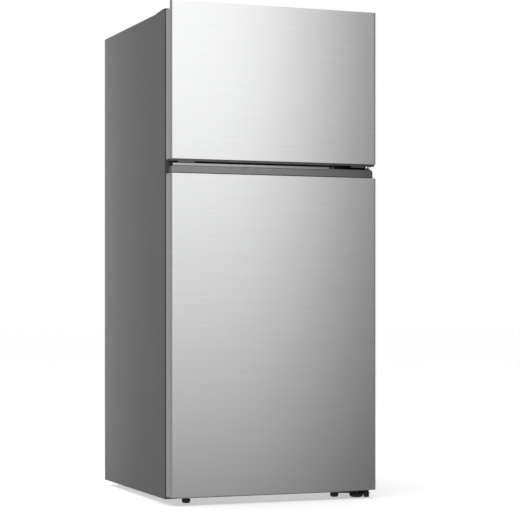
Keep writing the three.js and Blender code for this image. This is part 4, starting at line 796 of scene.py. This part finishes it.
def add_rear_cover():
    """The freezer's rear wall, with louvres before the fan and return slots along its foot."""
    x, y, z = span("rear_cover")
    plate = Piece()
    plate.block(x, y, z, WHITE, 0.8, 13, "Y")
    made = plate.finish("rear_cover_plate", "cabinet", "white_plastic", ["rear_cover"])
    slots = Piece()
    cuts = []
    for i in range(6):
        at = FAN_AXIS[1] - 40 + 16 * i
        half = math.sqrt(48**2 - (at - FAN_AXIS[1]) ** 2)
        cuts.append((rectangle((-half, half), (at - 4, at + 4)), 3.9))
    for i in range(14):
        at = 36 * (i - 6.5)
        cuts.append((rectangle((at - 11, at + 11), (1215, 1225)), 4.9))
    for outline, corner in cuts:
        through = [lift(rounded(outline, corner, 0, 5), "Y", place) for place in (y[0] - 3, y[1] + 3)]
        slots.loft(through, WHITE)
    carve(made, tool(slots, WHITE))
    details = Piece()
    ring = [(60, 0.5), (60, -1.2), (59, -2), (57, -2), (56, -1.2), (56, 0.5)]
    rings = [lift(circle(FAN_AXIS, r, 64), "Y", y[0] + at) for r, at in ring]
    details.loft(rings, WHITE, ring=True)
    for sx in (-1, 1):
        for at in (1236, 1560):
            details.lathe((sx * 290, at), [(6, y[0] + 0.5), (6, y[0] - 0.6), (5, y[0] - 1.4)], WHITE, "Y", 32)
    for i in range(7):
        angle = math.radians(150 - 40 * i)
        place = (-170 + 26 * math.cos(angle), FAN_AXIS[1] + 26 * math.sin(angle))
        details.lathe(place, [(1 + 0.15 * i, y[0] + 0.4), (1 + 0.15 * i, y[0] - 0.25)], CAP, "Y", 16)
    details.finish("rear_cover_details", "cabinet", "white_plastic", ["rear_cover"])


def add_evaporator():
    """Thin aluminium fins on three rows of tube."""
    x, y, z = span("evaporator")
    piece = Piece()
    for i in range(54):
        at = x[0] + 22 + (x[1] - x[0] - 44) * i / 53
        piece.block((at - 0.25, at + 0.25), (y[0] + 3, y[1] - 1), (z[0] + 2, z[1] - 2), ALUMINIUM, 0.05)
    for row in range(3):
        depth = y[0] + 14 + 20 * row
        path = []
        for k in range(6):
            height = z[0] + 22 + 36 * k
            ends = (x[0] + 14, x[1] - 14) if k % 2 == 0 else (x[1] - 14, x[0] + 14)
            path += [(ends[0], depth, height), (ends[1], depth, height)]
        smooth = bends(path, 9)
        piece.tube(smooth, 4, ALUMINIUM, 12)
    piece.finish("evaporator_fins", "cabinet", "aluminium", ["evaporator"])


def bends(path, radius, steps=5):
    """A path of straight runs with its corners rounded."""
    points = [Vector(p) for p in path]
    made = [points[0]]
    for before, here, after in zip(points, points[1:], points[2:]):
        into = (here - before).normalized()
        out = (after - here).normalized()
        for step in range(steps + 1):
            t = step / steps
            a = here - into * radius * (1 - t)
            b = here + out * radius * t
            made.append(a.lerp(b, t))
    made.append(points[-1])
    return made


def add_fan():
    x, y, z = span("fan_blade")
    hub = Piece()
    profile = [(8, y[0] + 0.6), (13, y[0] + 4), (13.6, y[0] + 1.2), (13.6, y[1] - 0.4), (13, y[1])]
    hub.lathe(FAN_AXIS, profile + [(3.8, y[1]), (3.8, y[1] - 8)], WHITE, "Y", 40)
    centre = (y[0] + y[1]) / 2
    for blade in range(5):
        turn = 2 * math.pi * blade / 5
        rings = []
        for step in range(7):
            radius = 12.5 + (43.2 - 12.5) * step / 6
            pitch = 0.75 - 0.3 * step / 6
            chord = 11 + 7 * math.sin(math.pi * (0.25 + 0.55 * step / 6))
            outline = []
            for k in range(12):
                angle = 2 * math.pi * k / 12
                along = chord * math.cos(angle)
                thick = 0.75 * math.sin(angle) + 0.9 * math.cos(angle) ** 2
                sideways = along * math.cos(pitch) - thick * math.sin(pitch) + 4 * (step / 6) ** 2
                forward = along * math.sin(pitch) + thick * math.cos(pitch)
                around = turn + sideways / radius
                place = Vector((radius * math.sin(around), 0, radius * math.cos(around)))
                middle = Vector((FAN_AXIS[0], centre + max(-8.4, min(8.4, forward)), FAN_AXIS[1]))
                outline.append(place + middle)
            rings.append(outline)
        hub.loft(rings, WHITE)
    hub.finish("fan_blade_wheel", "fan_blade", "white_plastic", ["fan_blade"])
    x, y, z = span("fan_motor")
    motor = Piece()
    body = [(16, 0), (21, 1), (22, 3), (22, 14), (21, 15), (21, 17), (22, 18), (22, 30), (20, 33)]
    body = [(r, y[1] - at) for r, at in body + [(8, 34), (5, 36), (3, 37)]]
    motor.lathe(FAN_AXIS, body + [(3, y[0] + 1), (2.4, y[0])], DARK, "Y", 40)
    for sign in (-1, 1):
        arm = sorted((sign * 18, sign * 47.6))
        motor.block(arm, (y[1] - 9.6, y[1]), (FAN_AXIS[1] - 8, FAN_AXIS[1] + 8), DARK, 1.5)
        motor.screw((sign * 40, y[1] - 9.6, FAN_AXIS[1]), "Y", -1, 2.4)
    motor.finish("fan_motor_housing", "cabinet", "dark_plastic", ["fan_motor"])


def add_cold_air():
    add_rear_cover()
    add_evaporator()
    add_fan()
    x, y, z = span("air_duct_cover")
    details = Piece()
    for i in range(4):
        at = z[0] + 95 + 140 * i
        ring = [(0, 0.4), (0, -0.9), (0.5, -1.3), (2.5, -1.3), (3, -0.9), (3, 0.4)]
        outline = rectangle((-49, 49), (at - 9, at + 9))
        rings = [lift(rounded(outline, 5, inset, 5), "Y", y[0] + place) for inset, place in ring]
        details.loft(rings, WHITE, ring=True)
        for vane in range(-34, 35, 17):
            details.block((vane - 0.8, vane + 0.8), (y[0], y[0] + 2), (at - 5.6, at + 5.6), WHITE, 0.3)
    details.finish("air_duct_outlets", "cabinet", "white_plastic")


# ---- Controls and light ----
def add_dial(node, body, radius, depth):
    """A fluted knob with a grip bar and a pointer."""
    x, y, z = span(node)
    face = y[0] + depth
    centre = (sum(x) / 2, sum(z) / 2)
    piece = Piece()
    rings = []
    step = face - depth * 0.5
    profile = [(radius - 0.4, face), (radius, face - 0.6), (radius, step), (radius - 1.4, step - 0.8)]
    profile = [(r, max(at, y[0] + 0.4)) for r, at in profile]
    sides = 72
    for r, at in profile:
        outline = []
        for k in range(sides):
            reach = r - 0.25 * (1 + math.cos(k * math.pi))
            angle = 2 * math.pi * k / sides
            point = (centre[0] + reach * math.cos(angle), centre[1] + reach * math.sin(angle))
            outline.append(Vector(point))
        rings.append(lift(outline, "Y", at))
    piece.loft(rings, CAP)
    grip = rectangle((centre[0] - 2.4, centre[0] + 2.4), (centre[1] - radius + 1.4, centre[1] + radius - 1.4))
    front = face - depth
    levels = [(0, face - depth * 0.4), (0.3, front + 2), (0.8, front + 0.6), (1.6, front)]
    piece.stack(grip, levels, CAP, "Y", 2.2, 5)
    top = centre[1] + radius - 1.6
    pointer = (top - radius * 0.5, top - 1.4)
    piece.block((centre[0] - 0.6, centre[0] + 0.6), (front, front + 1), pointer, MARKING, 0.15)
    piece.lathe(centre, [(3.9, face - 1), (3.9, y[1])], CAP, "Y", 24)
    piece.finish(node + "_knob", body, "cap_plastic", [node])


def add_controls():
    x, y, z = span("control_housing")
    marks = Piece()
    foot = z[0] + 6
    for i in range(6):
        at = 59 + 5 * i
        marks.block((at - 0.6, at + 0.6), (y[0] - 0.12, y[0] + 0.5), (foot, foot + 2 + 0.9 * i), CAP, 0.1)
    marks.block((-120, -20), (y[0] - 0.2, y[0] + 0.5), (foot, z[0] + 7.2), CAP, 0.1)
    marks.finish("control_housing_marks", "cabinet", "cap_plastic")
    x, y, z = span("light_lens")
    lens = Piece()
    lens.block(x, y, (z[0] + 1.4, z[1]), FROSTED, 0.5, 3)
    for i in range(17):
        at = x[0] + 6 + (x[1] - x[0] - 12) * i / 16
        lens.block((at - 2.4, at + 2.4), (y[0] + 3, y[1] - 3), (z[0], z[0] + 2.2), FROSTED, 0.8)
    lens.finish("light_lens_ribs", "cabinet", "clear_plastic", ["light_lens"])
    add_dial("fridge_temperature_dial", "fridge_dial", 12.5, 12)
    add_dial("freezer_temperature_dial", "freezer_dial", 20, 16)
    x, y, z = span("light_switch_plunger")
    centre = (sum(x) / 2, sum(z) / 2)
    plunger = Piece()
    profile = [(2.4, y[0]), (3.2, y[0] + 0.7), (3.5, y[0] + 1.8), (3.5, -322), (5.4, -321.8)]
    profile += [(5.4, -320.2), (3.5, -320), (3.5, y[1])]
    plunger.lathe(centre, profile, WHITE, "Y", 32)
    plunger.finish("light_switch_button", "light_switch", "white_plastic", ["light_switch_plunger"])


# ---- Machine compartment and back ----
def add_compressor():
    """Two pressed shells with a welded seam, on a foot plate with rubber grommets."""
    x, y, z = span("compressor")
    centre = (200.0, sum(y) / 2)
    low = z[0] + 8
    dome = [(54, 2), (66, 8), (72, 20), (74, 50), (74, 86), (75, 88), (75, 94), (74, 96)]
    dome += [(71, 118), (64, 132), (50, 142), (26, 148), (6, 149.6)]
    body = Piece()
    body.lathe(centre, [(r, low + at) for r, at in dome], BLACK_PAINT, "Z", 64)
    plate = rectangle((x[0] + 10, centre[0] + 82), (y[0], y[1]))
    body.stack(plate, slab_levels(low, low + 3, 0.6, 2), BLACK_PAINT, "Z", 14, 5)
    body.block((x[0], x[0] + 34), (centre[1] - 22, centre[1] + 22), (low + 50, low + 95), DARK, 3, 5)
    for sx in (-1, 1):
        for sy in (-1, 1):
            place = (centre[0] + 71 * sx, centre[1] + 45 * sy)
            grommet = [(9, 0), (10, 1), (7.6, 3), (7.6, 5), (9.6, 7), (9, 8)]
            body.lathe(place, [(r, z[0] + at) for r, at in grommet], RUBBER, "Z", 28)
            body.screw((*place, low + 3), "Z", 1, 4)
    low_pipe = [(centre[0] - 50, y[0] + 24, low + 60), (centre[0] - 62, y[0] + 8, low + 66)]
    low_pipe += [(centre[0] - 66, y[0] + 6, low + 110), (centre[0] - 50, y[0] + 20, low + 122)]
    body.tube(bends(low_pipe, 7), 3, COPPER, 12)
    body.finish("compressor_shell", "cabinet", "black_paint", ["compressor"])


def add_condenser():
    """One tube folded back and forth, held by welded wires."""
    x, y, z = span("condenser_coil")
    middle = sum(z) / 2
    path = []
    for i in range(8):
        at = y[0] + 3 + 22 * i
        ends = (x[0] + 3, x[1] - 3) if i % 2 == 0 else (x[1] - 3, x[0] + 3)
        path += [(ends[0], at, middle), (ends[1], at, middle)]
    coil = Piece()
    coil.tube(bends(path, 10.9, 7), 2.5, BLACK_PAINT, 12)
    for i in range(24):
        at = x[0] + 24 + (x[1] - x[0] - 48) * i / 23
        for side in (-1, 1):
            level = middle + 2.4 * side
            coil.tube([(at, y[0] + 1, level), (at, y[1] - 1, level)], 0.6, BLACK_PAINT, 6)
    coil.finish("condenser_tube", "cabinet", "copper", ["condenser_coil"])
    x, y, z = span("drip_tray")
    tray = Piece()
    tray.stack(rectangle(x, y), tub_levels(z[0], z[1], 2.4, 9, 2.5, 0.4), DARK, "Z", 12, 6)
    tray.finish("drip_tray_pan", "cabinet", "dark_plastic", ["drip_tray"])


def add_back_screws():
    """Screws round the machine compartment's cover and the back panel."""
    piece = Piece()
    face, panel = 395.7, 396.4
    for x in (-356, 356):
        for at in (60, 137, 214):
            piece.lathe((x, at), [(4.2, face - 0.3), (4.2, face + 0.4), (3.4, face + 1.0)], SCREW, "Y", 28)
            piece.lathe((x, at), [(1.2, face + 0.9), (1.2, face + 1.1)], DARK, "Y", 6)
    edge = [(x, 262 + 196 * i) for x in (-368, 368) for i in range(8)]
    edge += [(-280 + 140 * i, 1657) for i in range(5)]
    for place in edge:
        piece.lathe(place, [(4, panel), (4, panel + 0.35), (3.2, panel + 0.55)], SCREW, "Y", 28)
    piece.finish("back_screws", "cabinet", "zinc_steel")


# ---- Hinges, feet and rollers ----
AXIS = (348.0, -371.0)


def add_hinges():
    """Screws and bushings on the hinge plates, and the moulded covers on top."""
    x, y, z = span("middle_hinge")
    face = y[1] - 3.5
    middle = sum(z) / 2
    fittings = Piece()
    for at in (220, 238):
        fittings.screw((at, face, middle - 4), "Y", -1, 4.6)
    fittings.lathe(AXIS, [(7.4, middle - 4.6), (7.4, middle + 4.6), (5.5, middle + 5.4)], SCREW, "Z", 36)
    fittings.finish("middle_hinge_screws", "cabinet", "zinc_steel")
    x, y, z = span("lower_hinge")
    nut = Piece()
    nut.lathe(AXIS, [(8, 3), (9.9, 4), (9.9, 12), (8.6, 13)], BLACK_PAINT, "Z", 6)
    for at in ((292, -282), (292, -262), (340, -262)):
        nut.screw((*at, 14.2), "Z", -1, 4)
    nut.finish("lower_hinge_fittings", "cabinet", "black_paint")
    cap = Piece()
    x, y, z = span("top_hinge_cover")
    cap.lathe((262, -276), [(7, z[1] - 1), (7, z[1] - 0.35), (5.6, z[1] - 0.1)], DARK, "Z", 36)
    cap.finish("top_hinge_cover_plug", "cabinet", "dark_plastic")
    x, y, z = span("top_corner_cap")
    screw = Piece()
    head = [(4.4, z[0] + 1.5), (4.4, z[0] + 4.3), (3.4, z[0] + 4.9)]
    screw.lathe((sum(x) / 2, y[0] + 48), head, SCREW, "Z", 32)
    screw.finish("top_corner_cap_screw", "cabinet", "zinc_steel")


def add_foot(node, body, radius, ribs):
    """A dish foot with gripping ribs round its rim, on a threaded stem."""
    x, y, z = span(node)
    centre = Vector((sum(x) / 2, sum(y) / 2))
    r = radius
    base = [(0.66, 0), (0.74, 0.6), (0.8, 2), (0.86, 2.4), (0.94, 5), (1, 8), (1, 12), (0.96, 13.4)]
    base = [(share * r, at) for share, at in base + [(0.82, 14.3)]] + [(7.4, 14.4), (7, 14.8)]
    foot = Piece()
    rings = []
    sides = ribs * 6
    for radius_here, at in base:
        outline = []
        for k in range(sides):
            groove = (0.045 * r if 4 < at < 14 else 0) * max(0, math.cos(k * math.pi / 3)) ** 2
            angle = 2 * math.pi * k / sides
            outline.append(centre + (radius_here - groove) * Vector((math.cos(angle), math.sin(angle))))
        rings.append(lift(outline, "Z", at))
    foot.loft(rings, DARK)
    thread = []
    at = 14.2
    while at < z[1] - 1.2:
        thread += [(4.1, at), (4.95, at + 0.5), (4.1, at + 1.0)]
        at += 1.25
    foot.lathe(centre, thread + [(3.8, z[1] - 0.6), (3.2, z[1])], SCREW, "Z", 28)
    foot.finish(node + "_dish", body, "dark_plastic", [node], 40)


def add_roller(node, body):
    x, y, z = span(node)
    centre = (sum(y) / 2, sum(z) / 2)
    half = [(4.6, 0), (5.5, 0), (9.5, 1), (9.5, 2), (13.4, 1.2), (15, 3)]
    profile = [(r, x[0] + at) for r, at in half] + [(r, x[1] - at) for r, at in reversed(half)]
    wheel = Piece()
    rings = [lift(circle(centre, r, 48), "X", at) for r, at in profile]
    wheel.loft(rings, RUBBER, ring=True)
    wheel.finish(node + "_wheel", body, "black_rubber", [node])


def add_supports():
    add_foot("front_foot_left", "foot_left", 15, 16)
    add_foot("front_foot_right", "foot_right", 15, 16)
    add_foot("hinge_foot", "foot_hinge", 25, 24)
    add_roller("rear_roller_left", "roller_left")
    add_roller("rear_roller_right", "roller_right")


# ---- Studio ----
def sheet(name, corners, material):
    """A flat surface of the studio, which is no part of the refrigerator."""
    mesh = bmesh.new()
    mesh.faces.new([mesh.verts.new(corner) for corner in corners])
    data = bpy.data.meshes.new(name)
    mesh.to_mesh(data)
    mesh.free()
    data.materials.append(material)
    made = bpy.data.objects.new(name, data)
    bpy.context.scene.collection.objects.link(made)
    return made


def add_floor():
    """A pale paper floor; its own faint glow keeps the shadow under the doors soft."""
    glow = {"Specular_IOR_Level": 0.1, "Emission_Color": (1, 1, 1, 1), "Emission_Strength": 0.48}
    mat = new_material("floor_paper", (0.5, 0.5, 0.5), 0.9, **glow)
    vary_color(mat, pattern(mat, (2, 2, 2), 2), (0.5, 0.5, 0.5), (0.51, 0.51, 0.51))
    half = 40.0
    floor = sheet("floor", [(x, y, 0) for x, y in rectangle((-half, half), (-half, half))], mat)
    floor.visible_glossy = False


def add_world():
    world = bpy.data.worlds.new("studio")
    world.use_nodes = True
    nodes, links = world.node_tree.nodes, world.node_tree.links
    nodes.remove(nodes["Background"])
    path = nodes.new("ShaderNodeLightPath")

    def white(strength):
        node = nodes.new("ShaderNodeBackground")
        node.inputs["Color"].default_value = (1, 1, 1, 1)
        node.inputs["Strength"].default_value = strength
        return node.outputs[0]

    def choose(ray, others, chosen):
        node = nodes.new("ShaderNodeMixShader")
        for socket, value in zip(node.inputs, (path.outputs[ray], others, chosen)):
            links.new(value, socket)
        return node.outputs[0]

    mirrored = choose("Is Glossy Ray", white(1.03), white(0.31))
    seen = choose("Is Camera Ray", mirrored, white(1.0))
    links.new(seen, nodes["World Output"].inputs["Surface"])
    bpy.context.scene.world = world


def area_light(name, place, target, size, power):
    data = bpy.data.lights.new(name, "AREA")
    data.shape = "RECTANGLE"
    data.size, data.size_y = size
    data.energy = power
    light = bpy.data.objects.new(name, data)
    bpy.context.scene.collection.objects.link(light)
    light.location = place
    light.rotation_euler = (Vector(target) - Vector(place)).to_track_quat("-Z", "Y").to_euler()
    light.visible_camera = False
    return light


def add_gradient_panel():
    """A softbox in front of the doors, brightest at its upper left, which the steel mirrors."""
    mat = bpy.data.materials.new("softbox_glow")
    mat.use_nodes = True
    nodes, links = mat.node_tree.nodes, mat.node_tree.links
    nodes.remove(nodes["Principled BSDF"])
    place = nodes.new("ShaderNodeTexCoord")
    split = nodes.new("ShaderNodeSeparateXYZ")
    links.new(place.outputs["Object"], split.inputs[0])

    def combine(operation, first, second):
        node = nodes.new("ShaderNodeMath")
        node.operation = operation
        links.new(first, node.inputs[0])
        links.new(second, node.inputs[1])
        return node.outputs[0]

    across = spread(mat, split.outputs["X"], 0.97, 0.0, 0.22, 1.19, "SMOOTHSTEP")
    extra = combine("MULTIPLY", across, spread(mat, split.outputs["Z"], 0.0, 1.09, -0.66, 1.55))
    base = spread(mat, split.outputs["Z"], 0.04, 0.18, -0.9, 0.6)
    glow = nodes.new("ShaderNodeEmission")
    links.new(combine("ADD", extra, base), glow.inputs["Strength"])
    links.new(glow.outputs[0], nodes["Material Output"].inputs["Surface"])
    distance = -1.6
    corners = rectangle((-2.4, 2.4), (-0.9, 3.2))[::-1]
    panel = sheet("softbox", [(x, distance, z) for x, z in corners], mat)
    panel.visible_camera = False
    panel.visible_shadow = False


def add_studio():
    bpy.context.scene.view_settings.view_transform = "Standard"
    add_floor()
    add_world()
    add_gradient_panel()
    area_light("top_light", (0, -0.5, 4.2), (0, 0, 0), (5, 5), 90)
    kicker = area_light("back_left_light", (-0.66, 0.78, 0.85), (-0.38, 0.36, 0.85), (0.15, 2.4), 14)
    kicker.visible_glossy = False
    area_light("right_strip", (3.2, 0.3, 1.0), (0.38, -0.39, 0.9), (2, 3), 12)


add_camera()
add_studio()
finish_nodes()
add_door_fronts()
add_door_insides()
add_liners()
add_shelves_and_drawers()
add_cold_air()
add_controls()
add_compressor()
add_condenser()
add_back_screws()
add_hinges()
add_supports()
